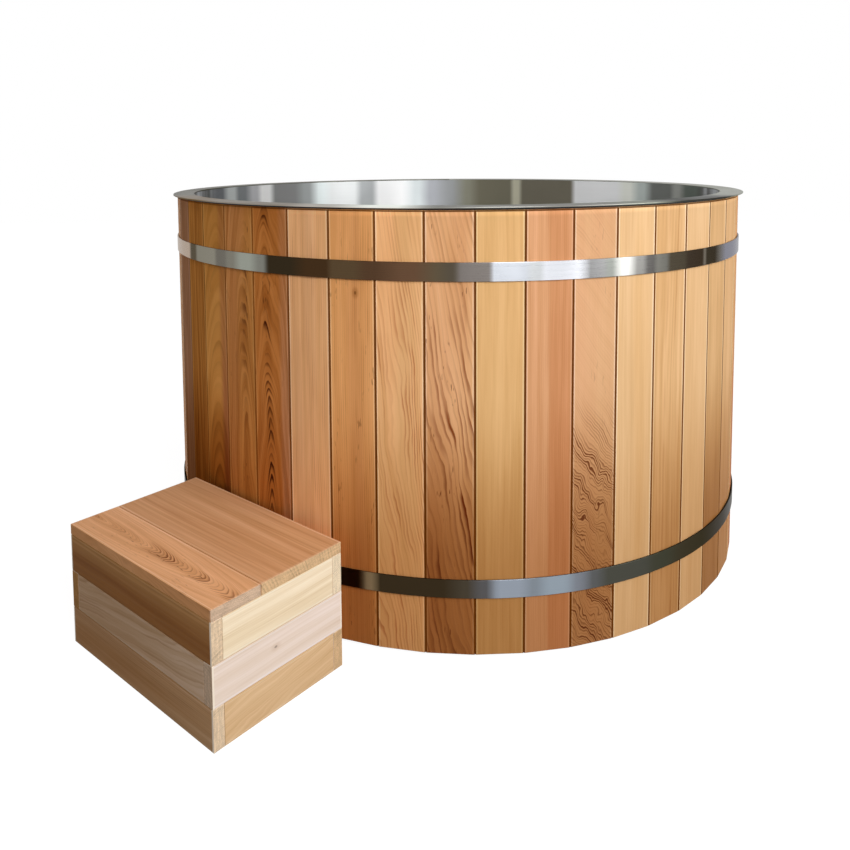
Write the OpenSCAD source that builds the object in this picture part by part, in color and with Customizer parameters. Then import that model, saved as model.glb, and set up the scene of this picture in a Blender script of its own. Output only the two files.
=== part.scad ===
// Round cold plunge tub: wooden staves and steel hoops round an insulated steel liner,
// with a floor drain and valve, two water ports for a chiller, and a loose wooden step.
// The origin is on the ground on the tub's axis. The step stands in front, on the -Y side,
// and all pipework is behind, on the +Y side.

/* [Wooden wall] */
// Diameter of the wall across the stave joints
tub_d = 1524; // [1400:1:1800]
// Height of the stave tops above the ground
stave_top = 910; // [860:1:1100]
// Number of staves round the wall
stave_n = 48; // [44:1:56]
// Thickness of a stave
stave_t = 25; // [22:0.5:34]
// Height of the stave feet above the ground
stave_foot = 6; // [3:0.5:14]
// Width of the eased edges of a stave
stave_arris = 1.6; // [0.6:0.1:3]
// Gap between two staves
stave_gap = 0.4; // [0.2:0.05:0.8]

/* [Hoops] */
// Width of a hoop band
hoop_w = 38; // [30:0.5:50]
// Thickness of a hoop band
hoop_t = 3; // [2:0.1:5]
// Distance from the stave tops down to the upper hoop
upper_hoop_drop = 102; // [80:1:160]
// Height of the lower edge of the lower hoop
lower_hoop_z = 127; // [120:1:180]
// Turn of the hoop locks from straight behind, one each way
lock_turn = 30; // [25:1:60]
// Gap between the two ends of a band
hoop_gap = 16; // [10:0.5:30]
// Thickness of a hoop lug along the band
lug_t = 14; // [10:0.5:20]
// Reach of a hoop lug out from the band
lug_reach = 30; // [24:0.5:40]
// Diameter of the draw bolt
draw_bolt_d = 10; // [8:0.5:12]
// Length of the draw bolt's end beyond its nut
bolt_end = 4; // [2:0.5:12]
// Thickness of the washers under bolt heads and nuts
washer_t = 2; // [1:0.1:3]

/* [Liner and rim] */
// Thickness of the liner sheet
liner_t = 2; // [1:0.1:3]
// Thickness of the foam behind the liner wall
wall_foam_t = 13.8; // [8:0.1:30]
// Thickness of the rim ring
rim_t = 3; // [2:0.1:5]
// Overhang of the rim beyond the stave joints
rim_over = 11; // [6:0.5:20]
// Thickness of the seal under the rim
seal_t = 4; // [2:0.1:6]
// Width of the seal under the rim
seal_w = 34; // [20:1:36]
// Distance of the seal's outer edge inside the stave joints
seal_inset = 4.5; // [3:0.5:10]

/* [Floor] */
// Number of floor boards
board_n = 11; // [9:2:15]
// Thickness of a floor board
board_t = 25; // [18:0.5:32]
// Gap between two floor boards
board_gap = 0.4; // [0.2:0.05:1]
// Depth of the groove in the staves that holds the floor boards
croze_depth = 7; // [4:0.5:10]
// Width of a joist
joist_w = 64; // [45:1:80]
// Height of a joist
joist_h = 89; // [86:0.5:110]
// Distance from joist to joist
joist_pitch = 240; // [200:1:245]
// Clearance between the joist ends and the staves
joist_end_gap = 3; // [1:0.5:10]
// Thickness of the foam under the liner floor
floor_foam_t = 25; // [15:0.5:40]

/* [Drain] */
// Distance of the drain's axis from the liner wall
drain_inset = 119; // [105:1:125]
// Diameter of the drain flange
drain_flange_d = 90; // [84:0.5:100]
// Outer diameter of the drain neck
drain_neck_d = 50; // [48:0.5:52]
// Bore of the drain neck and elbow
drain_bore_d = 38; // [30:0.5:40]
// Diameter of the strainer plate
strainer_d = 76; // [66:0.5:78]
// Diameter of a strainer hole
strainer_hole_d = 6; // [4:0.5:8]
// Height of the drain pipe's axis above the ground
pipe_z = 42; // [40:0.5:44]
// Outer diameter of the drain pipe
pipe_d = 42.4; // [40:0.1:43]
// Wall of the drain pipe
pipe_t = 2; // [1.5:0.1:3]

/* [Valve] */
// Distance of the valve ball's centre from the stave joints
valve_out = 62; // [56:0.5:80]
// Diameter of the valve body
valve_d = 62; // [60:0.5:70]
// Diameter of the valve ball
ball_d = 39; // [37:0.5:40]
// Bore through the valve ball and the valve's outlet
ball_bore_d = 25; // [20:0.5:26]
// Diameter of the valve stem
stem_d = 12; // [10:0.5:13]
// Length of the valve lever from the stem
lever_l = 125; // [95:1:160]
// Width of the valve lever
lever_w = 20; // [16:0.5:22]
// Thickness of the valve lever
lever_t = 3; // [2:0.1:4]
// Diameter of the outlet thread
outlet_d = 33.2; // [30:0.1:42]
// Length of the outlet thread
outlet_l = 20; // [14:0.5:30]

/* [Water ports] */
// Height of the suction port above the ground
suction_z = 260; // [230:1:340]
// Height of the return port above the ground
return_z = 640; // [560:1:690]
// Number of staves from straight behind to each port
port_stave = 2; // [2:1:3]
// Diameter of the threaded port body
port_d = 33.2; // [28:0.1:36]
// Bore of a port
port_bore_d = 19; // [15:0.1:21]
// Diameter of the smooth hose tail
tail_d = 25.4; // [23:0.1:27]
// Length of the smooth hose tail
tail_l = 36; // [25:0.5:50]
// Diameter of a port flange
port_flange_d = 68; // [62:0.5:80]
// Thickness of a port gasket at its rim
port_gasket_t = 2; // [1:0.1:3]

/* [Step] */
// Length of the step
step_l = 482; // [400:1:600]
// Depth of the step from front to back
step_w = 314; // [260:1:400]
// Height of one course of side planks
course_h = 78; // [60:0.5:90]
// Thickness of the side planks
plank_t = 24; // [18:0.5:30]
// Thickness of the tread boards
tread_t = 22; // [18:0.5:28]
// Depth of the front tread board
tread_front_w = 110; // [90:1:140]
// Gap between two boards of the step
plank_gap = 0.4; // [0.2:0.05:1]
// Width of a corner post
post_w = 38; // [30:0.5:45]
// Width of a cleat under the tread
cleat_w = 38; // [30:0.5:50]
// Thickness of a cleat under the tread
cleat_t = 20; // [15:0.5:25]
// Distance of each cleat from the middle of the step
cleat_x = 110; // [80:1:120]
// Diameter of the wood screws
screw_d = 4.5; // [3.5:0.1:6]
// Distance of the tread screws from the side planks
tread_screw_edge = 30; // [15:1:40]
// Distance of the tread screws from the seam between the tread boards
tread_screw_seam = 20; // [15:1:30]
// Distance from the stave joints to the step
step_gap = 10; // [6:0.5:60]
// Turn of the step round the tub from straight in front
step_turn = 36.7; // [0:0.1:60]
// Distance of the step's middle from the line through the tub's axis
step_shift = 66; // [-80:1:80]

/* [Hidden] */

$fn = 48;
wide_fn = 192;
fit = 0.3;
snug = 0.06;
cut = 1;
cedar = [0.76, 0.55, 0.36];
pale_cedar = [0.85, 0.70, 0.50];
steel = [0.72, 0.73, 0.74];
dull_steel = [0.55, 0.56, 0.57];
brass = [0.72, 0.58, 0.32];
black_rubber = [0.08, 0.08, 0.08];
foam = [0.90, 0.88, 0.80];
white_plastic = [0.93, 0.93, 0.92];

tub_r = tub_d / 2;
stave_pitch = 360 / stave_n;
face_r = tub_r * cos(stave_pitch / 2);
back_r = face_r - stave_t;
foam_ro = back_r - fit;
foam_ri = foam_ro - wall_foam_t;
liner_ro = foam_ri - fit;
liner_ri = liner_ro - liner_t;
croze_r = back_r + croze_depth;
floor_r = croze_r - fit;
board_z = joist_h;
floor_foam_z = board_z + board_t;
liner_z = floor_foam_z + floor_foam_t;
bath_z = liner_z + liner_t;
upper_hoop_z = stave_top - upper_hoop_drop - hoop_w;
seal_z = stave_top;
rim_z = seal_z + seal_t;
rim_top = rim_z + rim_t;
rim_ro = tub_r + rim_over;
seal_ro = tub_r - seal_inset;

band_ri = tub_r + fit;
band_ro = band_ri + hoop_t;
band_gap_turn = 2 * asin(hoop_gap / 2 / band_ri);
draw_bolt_r = draw_bolt_d / 2;
bolt_out = band_ro + lug_reach / 2;
draw_af = draw_bolt_d * 1.7;
draw_nut_t = draw_bolt_d * 0.8;
draw_head_t = draw_bolt_d * 0.64;
lug_span = hoop_gap + 2 * lug_t;

drain_y = liner_ri - drain_inset;
drain_gasket_t = 2;
drain_flange_t = 5;
drain_flange_z = bath_z + drain_gasket_t;
strainer_t = 2;
strainer_rings = [[0, 1], [strainer_d * 0.15, 6], [strainer_d * 0.28, 12]];
drain_neck_r = drain_neck_d / 2;
drain_hole_r = drain_neck_r + fit;
drain_nut_t = 10;
drain_nut_af = drain_neck_d + 20;
elbow_wall = 4;
elbow_r = drain_neck_r + elbow_wall;
elbow_up = board_z - drain_nut_t - fit - pipe_z;
elbow_out = 40;
socket_stop = 22;
neck_end_z = pipe_z + socket_stop;
pipe_r = pipe_d / 2;
pipe_hole_r = pipe_r + 0.8;
pipe_start = drain_y + socket_stop + 2;
joist_side_n = floor((drain_y - drain_nut_af / 2 - joist_w / 2 - cut) / joist_pitch);
joist_r = back_r - joist_end_gap;

valve_y = tub_r + valve_out;
valve_r = valve_d / 2;
ball_r = ball_d / 2;
ball_bore_r = ball_bore_d / 2;
stem_r = stem_d / 2;
stem_thread_r = stem_r - 1;
cavity_r = ball_r + 4.8;
cavity_half = ball_r + 0.5;
seat_in = 12;
shoulder_t = 6;
inlet_l = 18;
body_back = cavity_half + shoulder_t + inlet_l;
body_front = cavity_half + 6;
end_hex_af = valve_d - 4;
end_hex_t = 12;
boss_r = stem_r + 6;
boss_top = valve_r + 9;
packing_r = stem_r + 3;
packing_t = 6;
lever_z = boss_top + 2;
lever_nut_t = 5;
lever_eye_r = lever_w / 2 + 2;
grip_l = lever_l * 0.6;
grip_wall = 3;
grip_r = lever_w / 2 + grip_wall;
tang_z = ball_r - 4.5;
tang_w = 4;
stem_top = lever_z + lever_t + lever_nut_t + 2;

port_r = port_d / 2;
port_bore_r = port_bore_d / 2;
port_hole_r = port_r + 0.4;
port_flange_r = port_flange_d / 2;
port_flange_t = 4;
port_sag = liner_ri - sqrt(pow(liner_ri, 2) - pow(port_flange_r, 2));
port_seat = liner_ri - port_sag - port_gasket_t;
port_nut_t = 10;
port_nut_af = port_d + 14;
port_thread_end = face_r + washer_t + port_nut_t + 4;
port_washer_r = port_nut_af / 2 + 4;
cover_l = 14;
cover_wall = 3;
slot_n = 8;
slot_w = 4;
slot_in = port_flange_r * 0.28;
slot_l = port_flange_r * 0.5;
nozzle_tip_r = port_flange_r * 0.55;
nozzle_foot_r = port_flange_r * 0.95;

step_x0 = step_shift - step_l / 2;
step_y0 = -(tub_r + step_gap) - step_w;
box_h = 3 * course_h;
post_h = box_h - plank_gap;
screw_r = screw_d / 2;
screw_head_r = screw_d;
screw_head_t = 3;
screw_bite = plank_t - 6;
tread_bite = tread_t - 6;
post_inner = plank_t + post_w;
screw_high = 0.62 * course_h;
screw_low = 0.38 * course_h;
tread_screw_y = [
    plank_t + tread_screw_edge, tread_front_w - tread_screw_seam,
    tread_front_w + tread_screw_seam, step_w - plank_t - tread_screw_edge
];

// Ring round the Z axis
module ring(ro, ri, h) {
    difference() {
        cylinder(r = ro, h = h, $fn = ro > 200 ? wide_fn : $fn);
        translate([0, 0, -cut]) cylinder(r = ri, h = h + 2 * cut, $fn = ro > 200 ? wide_fn : $fn);
    }
}

// Six-sided nut blank with a bore
module hex_nut(af, bore_r, h) {
    difference() {
        cylinder(r = af / 2 / cos(30), h = h, $fn = 6);
        translate([0, 0, -cut]) cylinder(r = bore_r, h = h + 2 * cut);
    }
}

// Turns a piece from straight behind to stave number i
module at_stave(i) {
    rotate([0, 0, -i * stave_pitch]) children();
}

// Lays a piece's Z axis outwards through the wall at stave i and height z
module through_wall(i, z) {
    at_stave(i) translate([0, 0, z]) rotate([-90, 0, 0]) children();
}

// Half the width of a stave at distance y from the tub's axis
function stave_half(y) = y * tan(stave_pitch / 2) - stave_gap / 2 / cos(stave_pitch / 2);

// Section of a stave: flat faces, sides that point to the axis, eased outer edges
module stave_section() {
    half_face = stave_half(face_r) - stave_arris;
    half_side = stave_half(face_r - stave_arris);
    half_back = stave_half(back_r);
    polygon([
        [-half_face, face_r], [half_face, face_r], [half_side, face_r - stave_arris],
        [half_back, back_r], [-half_back, back_r], [-half_side, face_r - stave_arris]
    ]);
}

module stave_blank(i) {
    at_stave(i) translate([0, 0, stave_foot]) linear_extrude(stave_top - stave_foot) stave_section();
}

// Groove round the inside of the staves for the floor boards
module croze() {
    translate([0, 0, board_z - fit / 2]) cylinder(r = croze_r, h = board_t + fit, $fn = wide_fn);
}

// Lays a piece through the wall at each of the two ports
module both_ports() {
    through_wall(-port_stave, suction_z) children();
    through_wall(port_stave, return_z) children();
}

module port_bores(r, from, to) {
    both_ports() translate([0, 0, from]) cylinder(r = r, h = to - from);
}

module pipe_bore() {
    through_wall(0, pipe_z) translate([0, 0, back_r - cut])
        cylinder(r = pipe_hole_r, h = stave_t + 2 * cut);
}

function is_ported(i) = i == 0 || i == port_stave || i == stave_n - port_stave;

module staves() {
    color(cedar) difference() {
        for (i = [0 : stave_n - 1]) if (!is_ported(i)) stave_blank(i);
        croze();
    }
}

module ported_staves() {
    color(cedar) difference() {
        for (i = [-port_stave, 0, port_stave]) stave_blank(i);
        croze();
        pipe_bore();
        port_bores(port_hole_r, back_r - cut, face_r + cut);
    }
}

// Band that is open at its lock
module hoop(z, turn) {
    translate([0, 0, z]) rotate([0, 0, 90 + turn + band_gap_turn / 2])
        rotate_extrude(angle = 360 - band_gap_turn, $fn = wide_fn)
            translate([band_ri, 0]) square([hoop_t, hoop_w]);
}

// Places a piece at a hoop's lock, with X along the band
module at_lock(z, turn) {
    rotate([0, 0, turn]) translate([0, 0, z + hoop_w / 2]) children();
}

module both_locks() {
    at_lock(upper_hoop_z, lock_turn) children();
    at_lock(lower_hoop_z, -lock_turn) children();
}

module upper_hoop() {
    color(steel) hoop(upper_hoop_z, lock_turn);
}

module lower_hoop() {
    color(steel) hoop(lower_hoop_z, -lock_turn);
}

// One welded lug on each band end, drilled for the draw bolt
module hoop_lugs() {
    color(steel) both_locks() for (side = [-1, 1]) difference() {
        translate([side * (hoop_gap + lug_t) / 2 - lug_t / 2, band_ri, -hoop_w / 2])
            cube([lug_t, hoop_t + lug_reach, hoop_w]);
        translate([0, 0, -hoop_w]) cylinder(r = band_ro + snug, h = 2 * hoop_w, $fn = wide_fn);
        translate([-lug_span, bolt_out, 0]) rotate([0, 90, 0])
            cylinder(r = draw_bolt_r + fit, h = 2 * lug_span);
    }
}

module draw_bolts() {
    color(steel) both_locks() translate([-lug_span / 2 - washer_t, bolt_out, 0]) rotate([0, 90, 0]) {
        cylinder(r = draw_bolt_r, h = lug_span + 2 * washer_t + draw_nut_t + bolt_end);
        translate([0, 0, -draw_head_t]) cylinder(r = draw_af / 2 / cos(30), h = draw_head_t, $fn = 6);
    }
}

module draw_washers() {
    color(steel) both_locks() for (x = [-lug_span / 2 - washer_t, lug_span / 2])
        translate([x, bolt_out, 0]) rotate([0, 90, 0]) ring(draw_bolt_d, draw_bolt_r + snug, washer_t);
}

module draw_nuts() {
    color(steel) both_locks() translate([lug_span / 2 + washer_t, bolt_out, 0]) rotate([0, 90, 0])
        hex_nut(draw_af, draw_bolt_r + snug, draw_nut_t);
}

// One foam strip behind each stave
module wall_foam() {
    strip_turn = stave_pitch - 2 * asin(stave_gap / 2 / foam_ri);
    color(foam) difference() {
        for (i = [0 : stave_n - 1]) rotate([0, 0, 90 - i * stave_pitch - strip_turn / 2])
            rotate_extrude(angle = strip_turn, $fn = wide_fn) translate([foam_ri, floor_foam_z])
                square([wall_foam_t, stave_top - fit - floor_foam_z]);
        port_bores(port_hole_r, foam_ri - 2 * cut, foam_ro + 2 * cut);
    }
}

module liner_wall() {
    color(steel) difference() {
        translate([0, 0, bath_z]) ring(liner_ro, liner_ri, rim_z - bath_z);
        port_bores(port_hole_r, liner_ri - 2 * cut, liner_ro + 2 * cut);
    }
}

module liner_floor() {
    color(steel) difference() {
        translate([0, 0, liner_z]) cylinder(r = liner_ro, h = liner_t, $fn = wide_fn);
        translate([0, drain_y, liner_z - cut]) cylinder(r = drain_hole_r, h = liner_t + 2 * cut);
    }
}

// Flat rim ring with an eased outer edge
module liner_rim() {
    ease = rim_t / 3;
    color(steel) rotate_extrude($fn = wide_fn) polygon([
        [liner_ri, rim_z], [rim_ro - ease, rim_z], [rim_ro, rim_z + ease],
        [rim_ro, rim_top - ease], [rim_ro - ease, rim_top], [liner_ri, rim_top]
    ]);
}

module rim_seal() {
    color(black_rubber) translate([0, 0, seal_z]) ring(seal_ro, seal_ro - seal_w, seal_t);
}

module floor_boards() {
    board_w = 2 * floor_r / board_n;
    color(pale_cedar) difference() {
        intersection() {
            for (i = [0 : board_n - 1])
                translate([-floor_r + i * board_w + board_gap / 2, -floor_r, board_z])
                    cube([board_w - board_gap, 2 * floor_r, board_t]);
            translate([0, 0, board_z - cut]) cylinder(r = floor_r, h = board_t + 2 * cut, $fn = wide_fn);
        }
        translate([0, drain_y, board_z - cut]) cylinder(r = drain_hole_r, h = board_t + 2 * cut);
    }
}

module floor_foam() {
    color(foam) difference() {
        translate([0, 0, floor_foam_z]) cylinder(r = foam_ri - fit, h = floor_foam_t, $fn = wide_fn);
        translate([0, drain_y, floor_foam_z - cut]) cylinder(r = drain_hole_r, h = floor_foam_t + 2 * cut);
    }
}

// Joists across the tub; their undersides are the faces that the tub stands on
module joists() {
    color(pale_cedar) intersection() {
        for (i = [-joist_side_n : joist_side_n])
            translate([-joist_r, i * joist_pitch - joist_w / 2, 0]) cube([2 * joist_r, joist_w, joist_h]);
        translate([0, 0, -cut]) cylinder(r = joist_r, h = joist_h + 2 * cut, $fn = wide_fn);
    }
}

// Flanged neck through the liner, foam and boards, recessed for the strainer
module drain_body() {
    color(steel) translate([0, drain_y, 0]) difference() {
        union() {
            translate([0, 0, drain_flange_z]) cylinder(r = drain_flange_d / 2, h = drain_flange_t);
            translate([0, 0, neck_end_z]) cylinder(r = drain_neck_r, h = drain_flange_z - neck_end_z + cut);
        }
        translate([0, 0, neck_end_z - cut]) cylinder(r = drain_bore_d / 2, h = drain_flange_z);
        translate([0, 0, drain_flange_z + drain_flange_t - strainer_t])
            cylinder(r = strainer_d / 2 + fit / 2, h = strainer_t + cut);
    }
}

module drain_gasket() {
    color(black_rubber) translate([0, drain_y, bath_z])
        ring(drain_flange_d / 2 - 1, drain_neck_r + fit, drain_gasket_t);
}

// Round plate with rings of holes
module drain_strainer() {
    color(steel) translate([0, drain_y, drain_flange_z + drain_flange_t - strainer_t]) difference() {
        cylinder(r = strainer_d / 2, h = strainer_t);
        for (row = strainer_rings) for (i = [0 : row[1] - 1]) rotate([0, 0, i * 360 / row[1]])
            translate([row[0], 0, -cut]) cylinder(r = strainer_hole_d / 2, h = strainer_t + 2 * cut);
    }
}

module drain_nut() {
    color(brass) translate([0, drain_y, board_z - drain_nut_t])
        hex_nut(drain_nut_af, drain_neck_r + snug, drain_nut_t);
}

// Elbow that takes the neck from above and the pipe from behind
module drain_elbow() {
    hub_r = elbow_r + 1.5;
    bore_r = drain_bore_d / 2;
    color(brass) translate([0, drain_y, pipe_z]) difference() {
        union() {
            sphere(r = hub_r);
            cylinder(r = elbow_r, h = elbow_up);
            rotate([-90, 0, 0]) cylinder(r = elbow_r, h = elbow_out);
        }
        sphere(r = bore_r + 1);
        cylinder(r = bore_r, h = elbow_up + cut);
        rotate([-90, 0, 0]) cylinder(r = bore_r, h = elbow_out + cut);
        translate([0, 0, socket_stop]) cylinder(r = drain_neck_r + snug, h = elbow_up);
        rotate([-90, 0, 0]) translate([0, 0, socket_stop + 2]) cylinder(r = pipe_r + snug, h = elbow_out);
    }
}

module drain_pipe() {
    color(steel) through_wall(0, pipe_z) translate([0, 0, pipe_start])
        ring(pipe_r, pipe_r - pipe_t, valve_y - cavity_half - shoulder_t - pipe_start);
}

// Places a piece at the valve ball's centre, with Z up
module at_valve() {
    translate([0, valve_y, pipe_z]) children();
}

module valve_body() {
    color(brass) at_valve() difference() {
        union() {
            rotate([-90, 0, 0]) translate([0, 0, -body_back])
                cylinder(r = valve_r, h = body_back + body_front);
            cylinder(r = boss_r, h = boss_top);
        }
        rotate([-90, 0, 0]) {
            translate([0, 0, -cavity_half]) cylinder(r = cavity_r, h = cavity_half + body_front + cut);
            translate([0, 0, -body_back]) cylinder(r = ball_bore_r, h = body_back);
            translate([0, 0, -body_back - cut]) cylinder(r = pipe_r + snug, h = inlet_l + cut);
        }
        cylinder(r = stem_r + snug, h = boss_top + cut);
        translate([0, 0, boss_top - packing_t]) cylinder(r = packing_r + snug, h = packing_t + cut);
    }
}

// Threaded outlet that closes the front of the valve body
module valve_end() {
    color(brass) at_valve() rotate([-90, 0, 0]) difference() {
        union() {
            translate([0, 0, cavity_half])
                cylinder(r = cavity_r - snug, h = body_front - cavity_half + cut);
            translate([0, 0, body_front]) cylinder(r = end_hex_af / 2 / cos(30), h = end_hex_t, $fn = 6);
            translate([0, 0, body_front]) cylinder(r = outlet_d / 2, h = end_hex_t + outlet_l);
        }
        cylinder(r = ball_bore_r, h = body_front + end_hex_t + outlet_l + cut);
    }
}

// Two rings with hollow faces that the ball turns against
module valve_seats() {
    color(white_plastic) at_valve() for (side = [-1, 1]) rotate([side * 90, 0, 0]) difference() {
        translate([0, 0, seat_in]) cylinder(r = cavity_r - snug, h = cavity_half - seat_in);
        cylinder(r = ball_bore_r + 1, h = cavity_half + cut);
        sphere(r = ball_r + snug);
    }
}

module stem_seal() {
    color(white_plastic) at_valve() translate([0, 0, boss_top - packing_t])
        ring(packing_r, stem_r + snug, packing_t);
}

// Drilled ball, drawn closed, with a slot for the stem
module valve_ball() {
    color(steel) at_valve() difference() {
        sphere(r = ball_r);
        translate([-ball_d, 0, 0]) rotate([0, 90, 0]) cylinder(r = ball_bore_r, h = 2 * ball_d);
        translate([-ball_d, -tang_w / 2 - snug, tang_z - fit])
            cube([2 * ball_d, tang_w + 2 * snug, ball_d]);
    }
}

module valve_stem() {
    color(steel) at_valve() {
        intersection() {
            translate([-stem_r, -tang_w / 2, tang_z]) cube([stem_d, tang_w, ball_r - tang_z + cut]);
            cylinder(r = stem_r, h = ball_d);
        }
        translate([0, 0, ball_r + 0.1]) cylinder(r = stem_r, h = lever_z - ball_r - 0.1);
        translate([0, 0, ball_r + 0.1]) cylinder(r = stem_thread_r, h = stem_top - ball_r - 0.1);
    }
}

// Flat lever, drawn across the pipe where the valve is closed
module valve_lever() {
    color(steel) at_valve() translate([0, 0, lever_z]) difference() {
        union() {
            translate([0, -lever_w / 2, 0]) cube([lever_l, lever_w, lever_t]);
            cylinder(r = lever_eye_r, h = lever_t);
        }
        translate([0, 0, -cut]) cylinder(r = stem_thread_r + snug, h = lever_t + 2 * cut);
    }
}

// Dipped sleeve on the lever
module lever_grip() {
    color(black_rubber) at_valve() translate([lever_l - grip_l, 0, lever_z + lever_t / 2]) difference() {
        rotate([0, 90, 0]) cylinder(r = grip_r, h = grip_l + grip_wall);
        translate([-cut, -lever_w / 2 - snug, -lever_t / 2 - snug])
            cube([grip_l + cut + snug, lever_w + 2 * snug, lever_t + 2 * snug]);
    }
}

module lever_nut() {
    color(steel) at_valve() translate([0, 0, lever_z + lever_t])
        hex_nut(stem_d * 1.4, stem_thread_r + snug, lever_nut_t);
}

// Flanged and threaded tube with a smooth hose tail; Z points out of the tub
module port_body() {
    difference() {
        union() {
            translate([0, 0, port_seat - port_flange_t]) cylinder(r = port_flange_r, h = port_flange_t);
            translate([0, 0, port_seat - cut]) cylinder(r = port_r, h = port_thread_end - port_seat + cut);
            translate([0, 0, port_thread_end - cut]) cylinder(r = tail_d / 2, h = tail_l + cut);
        }
        translate([0, 0, port_seat - port_flange_t - cut])
            cylinder(r = port_bore_r, h = port_thread_end + tail_l - port_seat + port_flange_t + 2 * cut);
    }
}

module suction_port() {
    color(steel) through_wall(-port_stave, suction_z) port_body();
}

module return_port() {
    color(steel) through_wall(port_stave, return_z) port_body();
}

// Slotted cap over the suction port
module suction_cover() {
    color(steel) through_wall(-port_stave, suction_z)
        translate([0, 0, port_seat - port_flange_t - cover_l]) difference() {
            cylinder(r = port_flange_r, h = cover_l);
            translate([0, 0, cover_wall]) cylinder(r = port_flange_r - cover_wall, h = cover_l);
            for (i = [0 : slot_n - 1]) rotate([0, 0, i * 360 / slot_n])
                translate([slot_in, -slot_w / 2, -cut]) cube([slot_l, slot_w, cover_wall + 2 * cut]);
        }
}

// Cone that throws the returning water into the tub
module return_nozzle() {
    color(steel) through_wall(port_stave, return_z)
        translate([0, 0, port_seat - port_flange_t - cover_l]) difference() {
            cylinder(r1 = nozzle_tip_r, r2 = nozzle_foot_r, h = cover_l);
            translate([0, 0, -cut]) cylinder(r = port_bore_r, h = cover_l + 2 * cut);
        }
}

// Flat gaskets between the port flanges and the liner
module port_gaskets() {
    color(black_rubber) both_ports() translate([0, 0, port_seat])
        ring(port_flange_r, port_r + fit, port_gasket_t);
}

module port_washers() {
    color(black_rubber) both_ports() translate([0, 0, face_r])
        ring(port_washer_r, port_r + snug, washer_t);
}

module port_nuts() {
    color(steel) both_ports() translate([0, 0, face_r + washer_t])
        hex_nut(port_nut_af, port_r + snug, port_nut_t);
}

// Places the step: X along its length from its left end, Y from its front to the tub
module at_step() {
    rotate([0, 0, -step_turn]) translate([step_x0, step_y0, 0]) children();
}

// Side planks of one course; the long planks run through at the corners of every other course
module long_pair(course) {
    through = course % 2 == 0;
    x = through ? 0 : plank_t + plank_gap;
    for (y = [0, step_w - plank_t]) translate([x, y, course * course_h + plank_gap / 2])
        cube([step_l - 2 * x, plank_t, course_h - plank_gap]);
}

module end_pair(course) {
    through = course % 2 == 1;
    y = through ? 0 : plank_t + plank_gap;
    for (x = [0, step_l - plank_t]) translate([x, y, course * course_h + plank_gap / 2])
        cube([plank_t, step_w - 2 * y, course_h - plank_gap]);
}

// Screws from inside through each corner post; extra widens the shaft for the holes
module screws_to_long(extra) {
    for (course = [0 : 2]) for (x = [plank_t + post_w / 2, step_l - plank_t - post_w / 2])
        translate([x, 0, course * course_h + screw_high]) {
            translate([0, post_inner, 0]) rotate([90, 0, 0]) screw(post_w + screw_bite, extra);
            translate([0, step_w - post_inner, 0]) rotate([-90, 0, 0]) screw(post_w + screw_bite, extra);
        }
}

module screws_to_ends(extra) {
    for (course = [0 : 2]) for (y = [plank_t + post_w / 2, step_w - plank_t - post_w / 2])
        translate([0, y, course * course_h + screw_low]) {
            translate([post_inner, 0, 0]) rotate([0, -90, 0]) screw(post_w + screw_bite, extra);
            translate([step_l - post_inner, 0, 0]) rotate([0, 90, 0]) screw(post_w + screw_bite, extra);
        }
}

// Screw with its head's seat at the origin and its shaft along Z
module screw(length, extra) {
    cylinder(r = screw_r + extra, h = length + extra);
    if (extra == 0) translate([0, 0, -screw_head_t]) cylinder(r = screw_head_r, h = screw_head_t);
}

module long_planks() {
    color(cedar) at_step() difference() {
        for (course = [0 : 2]) long_pair(course);
        screws_to_long(snug);
    }
}

module end_planks() {
    color(pale_cedar) at_step() difference() {
        for (course = [0 : 2]) end_pair(course);
        screws_to_ends(snug);
    }
}

module corner_posts() {
    color(pale_cedar) at_step() difference() {
        for (x = [plank_t + plank_gap / 2, step_l - post_inner + plank_gap / 2])
            for (y = [plank_t + plank_gap / 2, step_w - post_inner + plank_gap / 2])
                translate([x, y, plank_gap / 2]) cube([post_w - plank_gap, post_w - plank_gap, post_h]);
        screws_to_long(snug);
        screws_to_ends(snug);
    }
}

module post_screws() {
    color(dull_steel) at_step() {
        screws_to_long(0);
        screws_to_ends(0);
    }
}

// Screws up through the cleats, two into each tread board
module screws_to_tread(extra) {
    for (x = [step_l / 2 - cleat_x, step_l / 2 + cleat_x])
        for (y = tread_screw_y)
            translate([x, y, box_h - cleat_t]) screw(cleat_t + tread_bite, extra);
}

module tread_cleats() {
    color(pale_cedar) at_step() difference() {
        for (x = [step_l / 2 - cleat_x, step_l / 2 + cleat_x])
            translate([x - cleat_w / 2, plank_t + plank_gap, box_h - cleat_t])
                cube([cleat_w, step_w - 2 * (plank_t + plank_gap), cleat_t]);
        screws_to_tread(snug);
    }
}

module tread_screws() {
    color(dull_steel) at_step() screws_to_tread(0);
}

module tread_front() {
    color(cedar) at_step() difference() {
        translate([0, 0, box_h]) cube([step_l, tread_front_w, tread_t]);
        screws_to_tread(snug);
    }
}

module tread_rear() {
    color(pale_cedar) at_step() difference() {
        translate([0, tread_front_w + 2 * plank_gap, box_h])
            cube([step_l, step_w - tread_front_w - 2 * plank_gap, tread_t]);
        screws_to_tread(snug);
    }
}

staves();
ported_staves();
upper_hoop();
lower_hoop();
hoop_lugs();
draw_bolts();
draw_washers();
draw_nuts();
wall_foam();
liner_wall();
liner_floor();
liner_rim();
rim_seal();
floor_boards();
floor_foam();
joists();
drain_body();
drain_gasket();
drain_strainer();
drain_nut();
drain_elbow();
drain_pipe();
valve_body();
valve_end();
valve_seats();
stem_seal();
valve_ball();
valve_stem();
valve_lever();
lever_grip();
lever_nut();
suction_port();
suction_cover();
return_port();
return_nozzle();
port_gaskets();
port_washers();
port_nuts();
tread_front();
tread_rear();
long_planks();
end_planks();
corner_posts();
post_screws();
tread_cleats();
tread_screws();
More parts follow.
